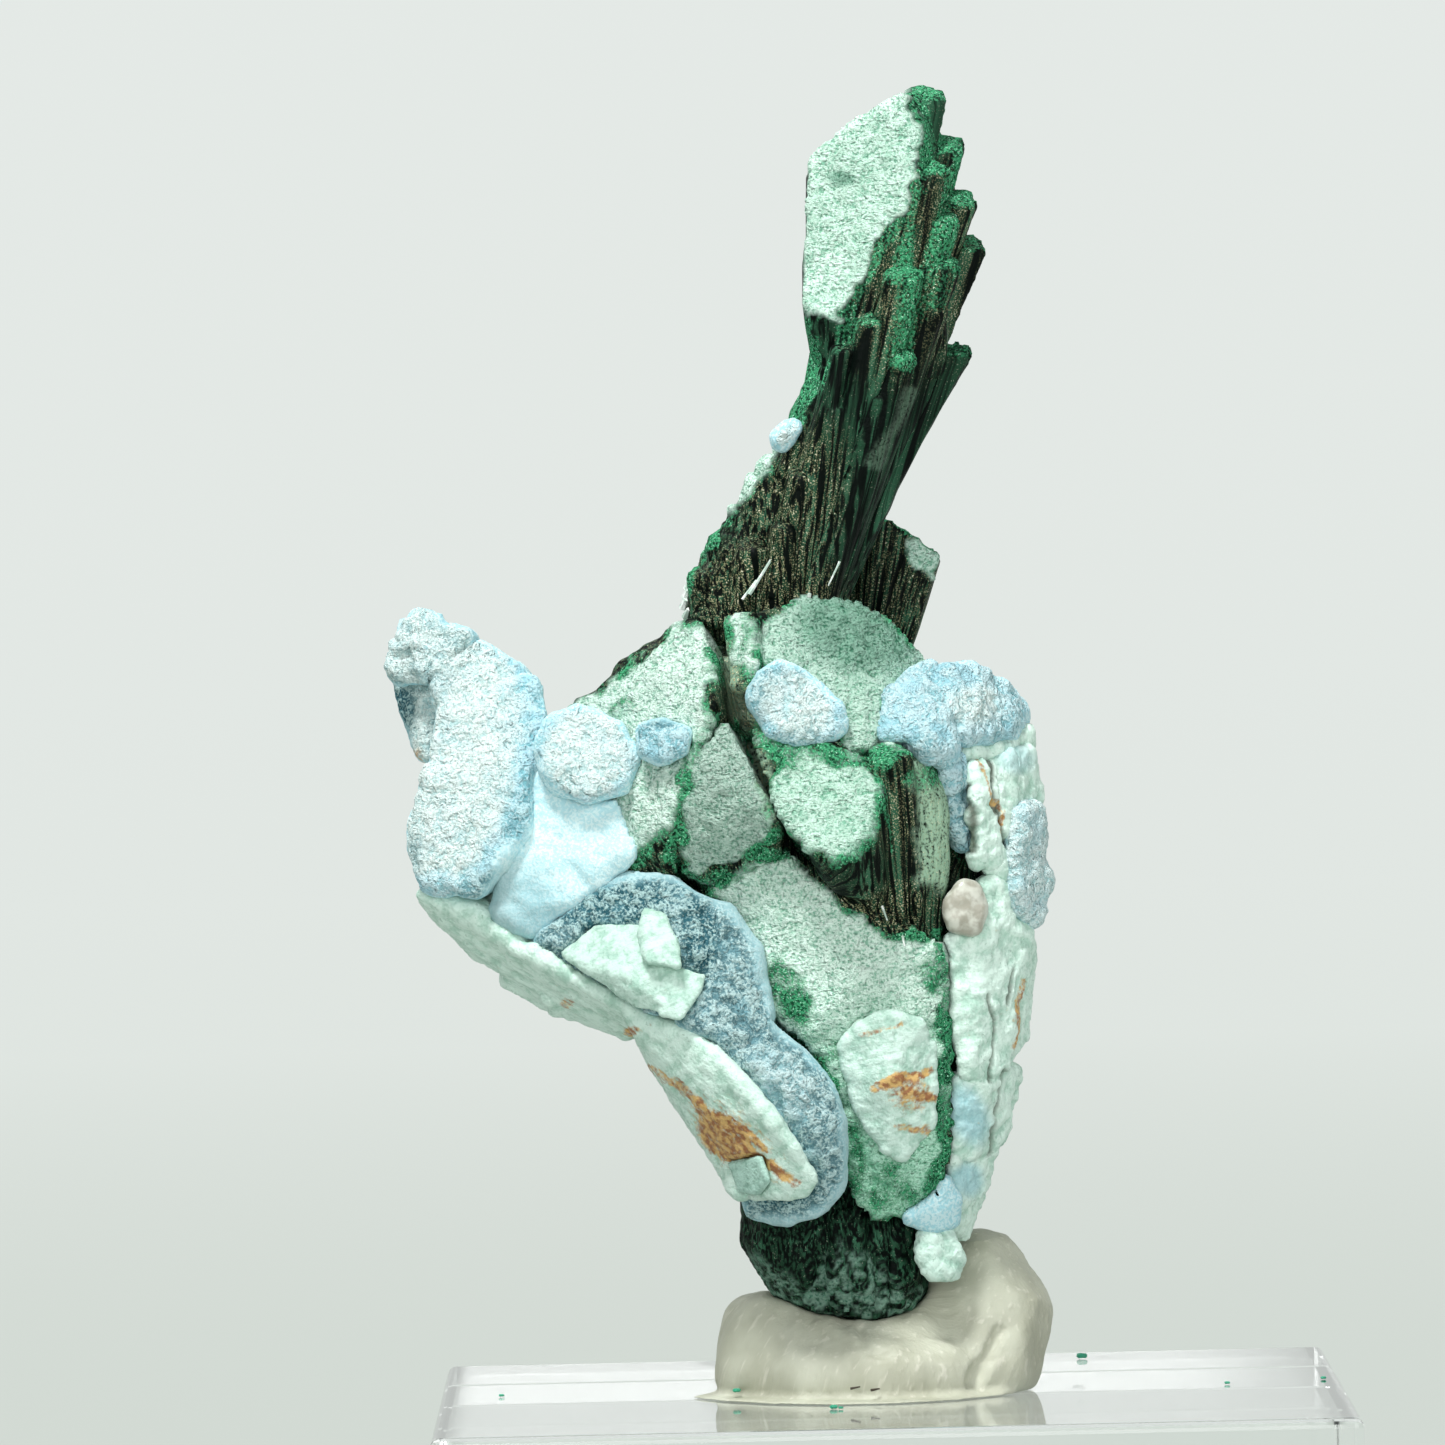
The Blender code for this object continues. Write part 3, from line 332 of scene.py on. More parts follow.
def malachite_look():
    """Dark silky fibres, a mint crust where there is a cap, and emerald tips at the rims."""
    look = Look("malachite")
    cap, rim, tone, lush = look.field("cap"), look.field("rim"), look.field("tone"), look.field("lush")
    relief, tan, pale = look.field("relief"), look.field("tan"), look.field("pale")
    fibre = look.field("fibre", "Vector")
    streak = look.noise(0.12, 3.0, fibre, 1.0)
    band = look.noise(0.5, 2.0, fibre, 1.0)
    speck = look.noise(0.065, 1.0)
    crystal = look.noise(0.12, 3.0)
    row = look.shingles(0.28, 28)
    cell = look.cells(0.15)
    patch = look.noise(0.8, 3.0)

    dark = look.mix(look.ramp(streak, 0.42, 0.62), "030a07", "20402e")
    # Lighter green bands along the fibres: partly their own colour, partly a painted silky sheen.
    dark = look.mix(look.ramp(band, 0.50, 0.66) * look.ramp(streak, 0.46, 0.60) * 0.6, dark, "3f7257")
    # Pale fibres lighten the dark ones, and on the plume this field carries a painted sheen.
    dark = look.mix(pale * look.ramp(streak * 0.4 + crystal * 0.6, 0.34, 0.54) * 0.9, dark, "a0c3a8")
    # Brown-gold flecks, partly their own colour and partly painted glitter, then near-white painted glints.
    gold = look.ramp(speck, 0.52, 0.60) * look.ramp(streak, 0.40, 0.54)
    dark = look.mix(gold * tan * 0.8, dark, "a09c76")
    spark = look.ramp(speck, 0.66, 0.72)
    dark = look.mix(spark * look.ramp(streak, 0.48, 0.56) * (tan * 0.8 + 0.2), dark, "f0ecd8")
    # Emerald tips, darker between their crystals as painted shade, with near-white specks as painted glints.
    emerald = look.mix(look.ramp(crystal, 0.36, 0.60), "0d4029", "43996c")
    emerald = look.mix(look.ramp(speck, 0.64, 0.70), emerald, "a9e2c4")
    # The mint crust is lighter on its crystals and darker in the seams between them, as painted shade.
    low = look.mix(tone, "38564b", "93c1ac")
    high = look.mix(tone, "768f83", "e4f6ec")
    high = look.mix(lush * 0.7, high, "98dfbd")
    low = look.mix(lush * 0.7, low, "3f9a6c")
    height = look.ramp(relief * 0.12 + crystal * 0.60 + row * 0.28, 0.36, 0.54)
    mint = look.mix(height, low, high)
    mint = look.mix(look.ramp(look.noise(0.5, 3.0), 0.55, 0.68) * 0.35, mint, low)
    mint = look.mix(look.ramp(patch, 0.50, 0.66) * lush * 0.5, mint, "57a782")
    colour = look.mix(cap, dark, mint)
    colour = look.mix(look.ramp(rim + crystal * 0.6 + streak * 0.4, 0.84, 1.20), colour, emerald)
    fibres = look.bump(streak, 0.10, 1.0)
    uneven = look.bump(look.noise(0.45, 3.0), 0.28, 1.0)
    grains = look.bump(crystal + row * 0.9 - cell * 0.3, 0.17, 1.0, uneven)
    coarse = look.node("ShaderNodeMath", {"operation": "MAXIMUM"}, {0: cap, 1: rim})
    normal = look.node("ShaderNodeMix", {"data_type": "VECTOR"}, {0: coarse, 4: fibres, 5: grains}, 1)
    return look.surface(
        Base_Color=colour, Roughness=coarse * 0.45 + 0.45, Specular_IOR_Level=0.06, Normal=normal
    )


malachite = malachite_look()

# Each cap as it appears: its brightness, how green it is, and its outline.
# The third cap's low brightness is painted shade.
mass_caps = [
    (0.84, 0.15, [(-12.9, 28.9), (-11.5, 29.6), (-10.7, 30.3), (-9.0, 31.3), (-7.8, 32.5), (-6.9, 31.9),
                  (-6.8, 30.5), (-7.0, 28.0), (-7.3, 27.2), (-8.2, 25.2), (-8.8, 24.0), (-9.2, 23.3),
                  (-10.0, 22.9), (-10.9, 23.0), (-11.2, 24.3), (-13.0, 25.0)]),
    (0.80, 0.20, [(-6.0, 32.7), (-5.2, 32.7), (-4.95, 31.8), (-5.1, 30.5), (-5.5, 30.0), (-5.9, 31.0)]),
    (0.42, 0.15, [(-7.0, 28.0), (-6.0, 28.0), (-5.6, 27.5), (-5.2, 26.0), (-4.8, 25.0), (-4.5, 24.0),
                  (-4.7, 23.2), (-5.5, 22.8), (-7.6, 22.0), (-8.1, 22.2), (-8.2, 23.0), (-8.0, 25.2),
                  (-7.2, 27.3)]),
    (0.55, 0.30, [(-4.8, 32.3), (-3.9, 32.8), (-3.3, 33.4), (-1.5, 33.5), (-0.5, 33.1), (0.3, 32.5),
                  (1.7, 31.1), (2.2, 30.4), (1.3, 29.9), (0.5, 29.3), (0.0, 28.6), (-0.1, 26.6), (-1.4, 26.5),
                  (-2.0, 28.6), (-3.2, 30.2), (-4.8, 30.5), (-5.0, 31.3)]),
    (0.74, 0.42, [(-5.0, 27.9), (-3.9, 27.5), (-2.6, 26.8), (-1.4, 26.4), (-0.3, 26.2), (0.0, 25.4),
                  (-0.4, 24.0), (-0.7, 23.2), (-1.2, 22.7), (-1.9, 22.4), (-2.7, 22.6), (-3.2, 23.0),
                  (-3.9, 23.6), (-4.4, 24.8), (-4.1, 26.3)]),
    (0.80, 0.30, [(-0.1, 26.9), (0.5, 27.15), (1.15, 26.85), (0.5, 26.5)]),
    (1.00, 0.22, [(-8.1, 21.9), (-6.8, 21.5), (-5.5, 22.5), (-4.2, 22.6), (-3.4, 22.0), (-1.5, 20.3),
                  (0.2, 18.9), (2.3, 19.0), (2.6, 16.0), (2.5, 13.0), (2.2, 9.5), (1.5, 8.4), (0.5, 7.3),
                  (-0.6, 7.1), (-1.6, 8.6), (-1.7, 11.8), (-1.9, 13.0), (-3.5, 15.0), (-4.6, 15.5),
                  (-5.0, 18.3), (-6.2, 20.3), (-6.9, 21.1)]),
]


def fibres_from(points, roots, length=8.0):
    """Where each point lies among the fibres of its root, as a direction this many millimetres long."""
    return unit(points - roots) * length


def capped(points, outward, caps, back_axis):
    """The cap share, rim share, brightness and greenness at each point."""
    front = step(outward @ FRONT, -0.15, 0.2)
    cap = np.zeros(len(points))
    rim = np.zeros(len(points))
    tone = np.full(len(points), 0.6)
    lush = np.full(len(points), 0.3)
    ragged = 0.7 + 0.6 * step(rough(points, 1.6, 3, 29), -0.3, 0.5)
    for bright, green, outline in caps:
        depth = inside(points, outline, 0.32)
        share = step(depth, -0.08, 0.12)
        tone = tone + share * (bright - tone)
        lush = lush + share * (green - lush)
        cap = np.maximum(cap, share)
        rim = np.maximum(rim, 0.56 * ragged * step(depth, -0.45, -0.10) * (1 - step(depth, 0.0, 0.45)))
    facing = (outward * unit(points - back_axis)).sum(axis=1) + 0.10 * rough(points, 2.0, 3, 31)
    back_cap = step(facing, 0.80, 0.90)
    back_rim = step(facing, 0.70, 0.80) * (1 - back_cap)
    return front * cap + (1 - front) * back_cap, front * rim + (1 - front) * back_rim, tone, lush


# Emerald edges and patches, as a path or an oval, each with its strength.
emerald_edges = [
    (0.60, 0.45, [(-7.0, 28.6), (-7.4, 27.3), (-8.2, 25.0), (-8.7, 23.0), (-8.6, 21.9)]),
    (0.42, 0.40, [(-7.8, 32.4), (-6.9, 31.9), (-6.8, 30.5), (-7.0, 28.0)]),
    (0.62, 0.60, [(2.3, 19.2), (2.5, 16.0), (2.4, 12.5), (2.1, 9.4), (1.3, 7.9)]),
    (0.60, 0.80, [(-5.2, 27.9), (-3.6, 27.2), (-2.2, 26.6), (0.0, 26.5)]),
    (0.62, 0.30, [(-0.2, 26.9), (0.5, 26.5), (1.2, 26.9)]),
    (0.48, 0.60, [(-5.0, 30.8), (-5.2, 32.6)]),
    (0.62, 0.60, [(-12.4, 22.3), (-10.8, 22.6), (-9.6, 22.8)]),
    (0.46, 0.40, [(0.6, 28.8), (1.6, 30.2), (2.3, 30.4)]),
    (0.50, 0.40, [(-0.2, 24.6), (-0.9, 22.9), (-2.0, 22.3), (-3.2, 22.8)]),
    (0.55, 0.35, [(-0.1, 26.7), (0.1, 24.8), (0.4, 23.0)]),
    (0.50, 0.30, [(2.7, 26.4), (3.0, 23.8), (3.4, 21.9)]),
]
emerald_patches = [
    (0.60, (-3.8, 16.8), (1.3, 2.6), 25),
    (0.44, (-2.8, 14.6), (1.8, 1.6), 30),
    (0.52, (-1.4, 9.8), (0.9, 3.0), 0),
    (0.52, (0.2, 8.4), (1.9, 2.2), 0),
    (0.56, (2.0, 17.6), (0.9, 1.6), 0),
    (0.46, (-6.6, 21.8), (1.8, 0.6), 0),
    (0.46, (0.6, 29.4), (0.9, 1.2), -30),
    (0.56, (4.2, 22.3), (0.9, 0.7), 0),
    (0.52, (-3.7, 26.7), (1.6, 1.0), -20),
    (0.44, (-0.9, 26.2), (1.0, 0.7), 0),
    (0.52, (1.8, 25.7), (1.5, 1.1), 0),
    (0.48, (-10.5, 28.9), (1.0, 0.7), 35),
]

mass = regrown("malachite_mass", "malachite_mass_fibres_and_caps", 0.163)
points, outward = points_of(mass)
axis = np.array((-2.5, 0.5, 0.0)) + points * (0, 0, 1) * 0.9 + (0, 0, 1.8)
cap, rim, tone, lush = capped(points, outward, mass_caps, axis)
front = step(outward @ FRONT, -0.1, 0.2)
for strength, width, path in emerald_edges:
    rim = np.maximum(rim, strength * front * stripe(points, path, width, 0.3))
for strength, centre, radii, turn in emerald_patches:
    rim = np.maximum(rim, strength * front * spot(points, centre, radii, turn))
rim *= 0.88 + 0.4 * step(rough(points, 0.9, 3, 33), -0.4, 0.5)
# The top cap's upper part is darkened as the painted shadow of the plume.
tone -= 0.60 * spot(points, (-0.9, 31.9), (3.6, 2.3), -20) * front
share = step(seen(points)[0], -4.5, -1.0)[:, None]
roots = (1 - share) * (-4.0, -2.0, 17.0) + share * (1.5, -3.2, 13.0)
roots = np.where((points[:, 1] > 1.0)[:, None], (-2.0, 0.0, 17.0), roots)
fibre = fibres_from(points, roots)
streak = rough(fibre, 0.8, 3, 3)
lush += 0.70 * step(18.0 - seen(points)[1], 0.0, 8.0) * front
crystals = sugar(points, CRYSTAL_SIZE)
height = 0.20 + cap * (0.15 * (crystals - 0.4) + 0.16 * rough(points, 2.6, 3, 17)) + 0.06 * rim * crystals
height += (1 - cap) * (0.24 * streak - 0.05 * (1 - rim))
# Gold flecks in the breaks, but few in the hollow under the bright cap, left nearly black as painted shade.
tan = most((
    1.0 * spot(points, (-0.2, 20.4), (3.0, 1.9)), 1.3 * spot(points, (-5.6, 28.6), (0.9, 5.0), 12),
    0.8 * spot(points, (0.8, 24.5), (0.8, 2.4)), 0.35 * front,
)) * (1 - cap) * (1 - 0.8 * spot(points, (-0.8, 21.9), (1.6, 1.6), -30))
pale_post = [(1.2, 26.6), (2.9, 26.8), (3.0, 24.0), (2.8, 20.8), (1.5, 21.4)]
pale_seam = [(-6.5, 32.2), (-6.2, 30.0), (-5.5, 28.0), (-4.6, 24.6)]
pale = 0.9 * step(inside(points, pale_post, 0.35), -0.2, 0.4)
pale = np.maximum(pale, 0.75 * stripe(points, pale_seam, 0.7, 0.2))
paint(mass, cap=cap, rim=rim, tone=tone, lush=lush, relief=crystals, fibre=fibre, tan=tan, pale=pale)
settle(mass, points + outward * height[:, None], malachite, "malachite_mass")

# The plume. A sheaf of malachite fibres that spread upwards from one root and broke off in steps, so that
# every bundle ends in a velvety emerald tip. One broad bundle carries a nearly white cap.

plume_caps = [
    (0.78, 0.36, [(-2.6, 51.8), (-0.6, 53.4), (1.7, 54.7), (2.3, 53.0), (2.1, 50.9), (1.4, 49.5), (0.5, 48.4),
                  (0.0, 47.2), (-0.8, 45.8), (-1.3, 44.8), (-1.9, 45.3), (-3.0, 45.4), (-2.9, 46.8)]),
]
# The bundles' ends as (across, depth, height, strength), where each carries its emerald tuft.
plume_tips = [
    (3.5, 0.3, 43.6, 0.8), (3.3, 0.9, 45.5, 0.6), (4.2, 0.1, 48.2, 0.9), (3.8, -0.5, 49.9, 1.0),
    (3.2, 0.0, 52.2, 1.0), (2.6, -0.3, 54.2, 1.0), (1.2, -2.8, 43.4, 0.9), (2.2, -2.0, 45.2, 0.7),
    (1.5, -3.0, 46.8, 1.0), (3.0, -1.9, 47.2, 0.9), (3.1, -1.7, 49.1, 0.9), (2.7, -2.0, 51.2, 1.0),
    (0.1, -3.2, 44.9, 0.5), (-0.9, -3.1, 44.3, 0.8), (-0.2, -2.6, 39.6, 0.4),
]
# The plume's left edge as it appears, which carries a thin velvet of emerald tips.
PLUME_LEFT = [
    (-7.9, 33.5), (-7.3, 35.2), (-6.1, 36.8), (-5.0, 38.0), (-4.2, 39.3), (-3.0, 40.9), (-2.4, 42.0),
    (-2.1, 43.2), (-2.6, 45.1),
]
PLUME_ROOT = np.array((-4.6, 0.0, 22.0))
TUFT_LENGTH = 1.1
TUFT_RADIUS = 0.5


def levelled(x, y, z):
    """A place whose height is given as it appears, at its true height."""
    return x, y, z - (EYE_HEIGHT - z) / EYE_DISTANCE * y


def tufts(points, tips):
    """1 round the end of each bundle, falling to 0 down its fibres."""
    found = np.zeros(len(points))
    length = TUFT_LENGTH * (1 + 0.8 * rough(points, 0.4, 2, 43))
    for x, y, z, strength in tips:
        end = np.array(levelled(x, y, z))
        run = (end - PLUME_ROOT) / np.linalg.norm(end - PLUME_ROOT)
        offset = points - end
        down = offset @ run
        aside = np.linalg.norm(offset - down[:, None] * run, axis=1)
        share = step(down, -length, 0.0) * (1 - step(aside, TUFT_RADIUS, 2 * TUFT_RADIUS))
        found = np.maximum(found, strength * share)
    return found


plume = regrown("malachite_plume", "malachite_plume_fibres", 0.11)
points, outward = points_of(plume)
cap, rim, tone, lush = capped(points, outward, plume_caps, points - (0, -40, 0))
cap *= step(outward @ FRONT, 0.2, 0.5)
fibre = fibres_from(points, PLUME_ROOT, 14.0)
ahead = step((outward * unit(fibre)).sum(axis=1) + 0.2 * rough(points, 0.5, 2, 47), 0.35, 0.7)
across, up = seen(points)
edge = 0.65 * stripe(points, PLUME_LEFT, 0.6, 0.25)
tuft = np.maximum(tufts(points, plume_tips), 0.8 * ahead * step(across, -2.0, 0.0)) * (1 - cap)
cap_edge = [(2.2, 54.2), (2.6, 51.6), (1.6, 49.6), (0.4, 47.6), (-0.6, 46.0), (-1.2, 45.2)]
band = 0.52 * stripe(points, cap_edge, 0.6)
rim = most((0.6 * rim * (1 - cap), 0.66 * tuft, edge * (1 - cap), band * (1 - cap)))
# Nearly white edges: a pale crust, and along the plume's left edge also a painted rim light.
film_and_rim_light = most((
    stripe(points, [(-6.2, 36.9), (-5.1, 38.0), (-4.3, 39.2), (-3.8, 39.8)], 0.4),
    stripe(points, [(-2.2, 51.6), (-0.6, 53.2), (1.6, 54.4)], 0.6),
))
cap = np.maximum(cap, film_and_rim_light)
rim *= 1 - film_and_rim_light
crystals = sugar(points, CRYSTAL_SIZE)
streak = rough(fibre, 1.0, 4, 3)
tone = tone + 0.3 * film_and_rim_light
tone = tone - 0.8 * spot(points, (-0.9, 50.9), (0.9, 0.45), -10)
tone = tone + 0.3 * spot(points, (-1.6, 46.6), (1.4, 1.8))
height = 0.14 + cap * (0.12 * (crystals - 0.3) + 0.12 * rough(points, 1.6, 2, 17)) + (1 - cap) * 0.22 * streak
height += tuft * 0.10 * crystals
tan = most((
    1.0 * spot(points, (-4.6, 33.6), (4.0, 3.0)), 0.7 * spot(points, (-3.4, 37.0), (2.6, 5.0), -20),
    0.6 * spot(points, (2.2, 47.0), (3.4, 6.0), -20),
))
# A faint pale stripe on the plume's right is a painted sheen, carried by the pale field.
sheen = 0.2 * stripe(points, [(0.0, 39.0), (1.5, 42.0)], 0.35)
paint(plume, cap=cap, rim=rim, tone=tone, lush=lush, relief=crystals, fibre=fibre, tan=tan, pale=sheen)
settle(plume, points + outward * height[:, None], malachite, "malachite_plume")

# The back fan. A shorter, darker fan of the same fibres behind the plume's root, broken across its top.

fan_caps = [(0.8, 0.3, [(1.5, 35.8), (3.0, 35.1), (2.6, 34.0), (1.9, 34.6)])]
fan = regrown("malachite_back_fan", "malachite_back_fan_fibres", 0.12)
points, outward = points_of(fan)
cap, rim, tone, lush = capped(points, outward, fan_caps, points - (0, -40, 0))
fibre = fibres_from(points, np.array((-1.2, 4.5, 24.0)), 10.0)
rim = np.maximum(rim, step((outward * unit(fibre)).sum(axis=1), 0.4, 0.8))
crystals = sugar(points, 0.7)
height = 0.12 + cap * 0.22 * (crystals - 0.3) + (1 - cap) * 0.28 * rough(fibre, 0.9, 3, 3)
paint(
    fan, cap=cap, rim=0.7 * rim, tone=tone, lush=lush, relief=crystals, fibre=fibre, tan=0.5 + 0 * cap,
    pale=0 * cap,
)
settle(fan, points + outward * height[:, None], malachite, "malachite_back_fan")

# The foot. The lowest spray points down into the putty. Its fibres are almost black, and a dull powder of
# small crystals covers the rounded lower end.

foot = regrown("malachite_foot", "malachite_foot_fibres", 0.13)
points, outward = points_of(foot)
across, up = seen(points)
powder_top = [
    (-6.1, 6.3), (-4.5, 5.3), (-3.2, 4.6), (-2.8, 5.6), (-2.1, 6.3), (-1.3, 6.1), (-0.3, 5.2), (1.1, 4.2),
]
boundary = np.interp(across, *zip(*powder_top))
boundary += 0.35 * rough(points, 1.0, 3, 23)
powder = 1 - step(up, boundary - 0.5, boundary + 0.3)
fibre = fibres_from(points, np.array((-1.8, 0.0, 15.0)), 9.0)
crystals = sugar(points, 0.3)
speckle = step(rough(points, 0.35, 3, 53), -0.25, 0.3)
height = 0.14 + (1 - powder) * 0.16 * rough(fibre, 0.8, 3, 3) + powder * 0.12 * (crystals - 0.3)
paint(
    foot, cap=powder * 0.7 * speckle, rim=0.16 * (1 - powder), tone=0.06 + 0 * powder, lush=0.3 + 0 * powder,
    relief=crystals, fibre=fibre, tan=0 * powder, pale=0 * powder,
)
settle(foot, points + outward * height[:, None], malachite, "malachite_foot")

# The chrysocolla lobes. Pale blue copper silicate grew over the malachite in rounded lobes. Where a lobe is
# broken it shows a sugary, nearly white inside, and where it is whole it keeps a smooth, light blue skin.


def chrysocolla_look():
    """A sugary whitish break, light blue skin, and painted blue-grey shade in seams, pits and shaded places.
    """
    look = Look("chrysocolla")
    face, deep, blue = look.field("face"), look.field("deep"), look.field("blue")
    relief, satin, stain = look.field("relief"), look.field("satin"), look.field("stain")
    crystal = look.noise(0.12, 3.0)
    cell = look.cells(0.16)
    cloud = look.noise(1.1, 4.0)
    # Lighter on the crystals, darker in the seams as painted shade; the shade-and-grey field darkens it
    # further.
    low = look.mix(deep, look.mix(blue, "b2d0ce", "84bfca"), "33626c")
    high = look.mix(deep, look.mix(blue, "dae9e5", "b9dce4"), "a9c9c8")
    height = look.ramp(relief * 0.25 + crystal * 0.75 - deep * 0.07, 0.34, 0.54)
    broken = look.mix(height, low, high)
    tint = look.ramp(cloud, 0.48, 0.66) * (blue * 0.7 + 0.15)
    broken = look.mix(tint, broken, look.mix(deep, "9fd0dc", "5f949e"))
    # Scattered pits are painted dark teal, as the shade inside them.
    pits = 1 - look.ramp(look.noise(0.30, 3.0), 0.30, 0.38)
    broken = look.mix(pits * (deep * 0.5 + 0.3), broken, look.mix(deep, "7fb2bb", "1f4c56"))
    skin = look.mix(satin, "a0cfd8", look.mix(blue, "c4dad8", "b6dfe6"))
    skin = look.mix(look.ramp(crystal + cloud * 0.3, 0.60, 0.72) * 0.5, skin, "eaf6f4")
    skin = look.mix(deep * 0.8, skin, "79a5ac")
    colour = look.mix(face * (1 - satin), skin, broken)
    colour = look.mix(stain * look.ramp(look.noise(0.5, 3.0), 0.42, 0.58), colour, "b98a52")
    uneven = look.bump(look.noise(0.45, 3.0), 0.34, 1.0)
    grains = look.bump(crystal * 1.2 - cell * 0.3, 0.16, 1.0, uneven)
    plain = look.bump(crystal, 0.07, 0.7)
    reliefs = {0: face * (1 - satin), 4: plain, 5: grains}
    normal = look.node("ShaderNodeMix", {"data_type": "VECTOR"}, reliefs, 1)
    return look.surface(
        Base_Color=colour, Roughness=0.65 + face * 0.3, Specular_IOR_Level=0.12, Normal=normal
    )


chrysocolla = chrysocolla_look()


def lobe(node, name, voxel=0.11, facing=(-0.15, -1.0, 0.1), deep=0.0, blue=0.15, skin=0.35, satin=None,
         stain=None, soften=1, bumps=0.12, hollows=0.06, craggy=None, dark=()):
    """One chrysocolla piece: sugary where it faces the break, with a smoother skin round that."""
    piece = softened(regrown(node, name, voxel), soften)
    points, outward = points_of(piece)
    toward = unit(np.array((facing,)))[0]
    face = step(outward @ toward + 0.14 * rough(points, 1.0, 3, 61), skin, skin + 0.25)
    smooth = satin(points) if satin else 0 * face
    marks = stain(points) if stain else 0 * face
    depth = deep + 0 * face
    # The dark spots are mostly painted shade: overhang shadows, shaded walls and hollows. A negative share
    # lightens.
    for centre, radii, turn, share in dark:
        depth = depth + share * spot(points, centre, radii, turn)
    crystals = sugar(points, CRYSTAL_SIZE)
    hollow = step(rough(points, 1.2, 3, 71), 0.3, 0.75)
    height = 0.20 + 0.12 * rough(points, 1.8, 3, 17)
    height += face * (1 - smooth) * (bumps * (crystals - 0.4) - hollows * hollow)
    if craggy:
        height += craggy(points) * rough(points, 1.1, 4, 77)
    tint = blue(points) if callable(blue) else blue + 0 * face
    paint(
        piece, face=face, deep=np.clip(depth, 0, 1), blue=tint, satin=smooth, stain=marks,
        relief=np.clip(crystals * (1 - 0.6 * hollow), 0, 1),
    )
    settle(piece, points + outward * height[:, None], chrysocolla, node)


def cup_satin(points):
    """The smooth hollowed skirt at the lower right of the left lobe."""
    return step(inside(points, [
        (-14.3, 27.2), (-13.2, 25.9), (-9.8, 25.7), (-9.2, 22.6), (-10.8, 21.0), (-13.0, 19.8),
        (-14.6, 18.4), (-15.8, 18.6), (-16.7, 20.0), (-16.9, 21.0), (-16.4, 22.0), (-16.0, 23.0),
        (-15.0, 23.8), (-14.7, 24.5),
    ]), -0.1, 0.25)


def lower_rim(points):
    """The smooth rim along the upper, the right and the lower edge of the lower lobe."""
    return 0.9 * stripe(points, [
        (-14.9, 19.4), (-13.3, 21.2), (-10.5, 22.1), (-8.3, 21.9), (-6.3, 20.5), (-5.3, 19.3), (-4.8, 17.0),
        (-4.4, 15.4), (-2.7, 14.2), (-2.0, 13.2), (-1.7, 12.0), (-1.6, 9.5), (-2.0, 8.1), (-3.4, 7.1),
        (-5.0, 7.2),
    ], 0.6, 0.1)


lobe("chrysocolla_left_lobe", "chrysocolla_left_lobe_break", satin=cup_satin, skin=0.25, bumps=0.14,
     blue=lambda p: 0.05 + 0.8 * step(seen(p)[0], -16.0, -14.0) + 0.7 * stripe(
         p, [(-16.4, 32.4), (-14.9, 30.9), (-13.8, 29.4), (-13.8, 28.0), (-14.6, 26.6), (-14.8, 24.4),
             (-16.2, 22.6), (-17.6, 21.3), (-19.2, 21.8)], 0.9, 0.3),
     dark=[((-19.9, 29.0), (1.1, 1.9), 0, 1.0), ((-18.6, 31.4), (2.6, 2.2), 0, 0.2),
           ((-14.9, 24.6), (0.5, 2.4), -28, 0.35), ((-19.2, 23.0), (0.5, 1.4), 0, 0.3),
           ((-15.4, 20.4), (3.0, 3.0), -35, 0.75)],
     craggy=lambda p: 0.10 + 0.35 * spot(p, (-19.0, 31.6), (2.2, 1.8)),
     stain=lambda p: 0.8 * spot(p, (-19.2, 26.9), (0.5, 0.8)))
lobe("chrysocolla_round_slice", "chrysocolla_round_slice_break", voxel=0.09, skin=0.6, craggy=lambda p: 0.08,
     blue=lambda p: 0.1 + 0.7 * step(oval(p, (-12.0, 27.1), (2.1, 1.95)), 0.78, 0.98))
lobe("chrysocolla_small_slice", "chrysocolla_small_slice_break", voxel=0.07, deep=0.16, blue=0.9, skin=0.5,
     dark=[((-8.9, 28.2), (1.1, 0.3), 0, 0.6)])
lobe("chrysocolla_oval", "chrysocolla_oval_break", voxel=0.07, skin=0.6, craggy=lambda p: 0.08,
     blue=lambda p: 0.1 + 0.8 * step(oval(p, (-3.4, 28.9), (2.2, 1.6), -35), 0.60, 0.90),
     dark=[((-5.0, 29.6), (0.9, 1.6), -20, 0.4), ((-3.2, 27.6), (2.0, 0.5), 0, 0.35)])
lobe("chrysocolla_lower_lobe", "chrysocolla_lower_lobe_break", deep=0.72, blue=0.4, skin=0.42, bumps=0.2,
     hollows=0.16, satin=lower_rim,
     dark=[((-11.0, 20.6), (3.4, 1.1), 10, 0.4), ((-7.6, 19.4), (0.9, 2.2), 10, 0.4),
           ((-4.4, 12.8), (1.6, 2.4), 30, -0.35), ((-4.4, 8.8), (1.8, 1.3), 0, 0.4)])
lobe("chrysocolla_right_lobe", "chrysocolla_right_lobe_break", skin=0.0, hollows=0.14, craggy=lambda p: 0.14,
     blue=lambda p: 0.75 - 0.65 * spot(p, (4.0, 28.7), (1.5, 1.1)),
     dark=[((1.8, 27.2), (1.6, 0.7), 20, 0.3), ((5.2, 27.9), (1.0, 0.5), 20, 0.3),
           ((3.6, 23.9), (0.9, 2.4), 0, 0.5)])
lobe("chrysocolla_right_edge", "chrysocolla_right_edge_lobes", voxel=0.09, blue=0.25, skin=0.1,
     facing=(0.6, -1, 0.2), craggy=lambda p: 0.12)
lobe("chrysocolla_wedge", "chrysocolla_wedge_skin", voxel=0.07, deep=0.2, blue=0.6, skin=2.0)
lobe("chrysocolla_bead", "chrysocolla_bead_skin", voxel=0.05, skin=0.75, soften=4)
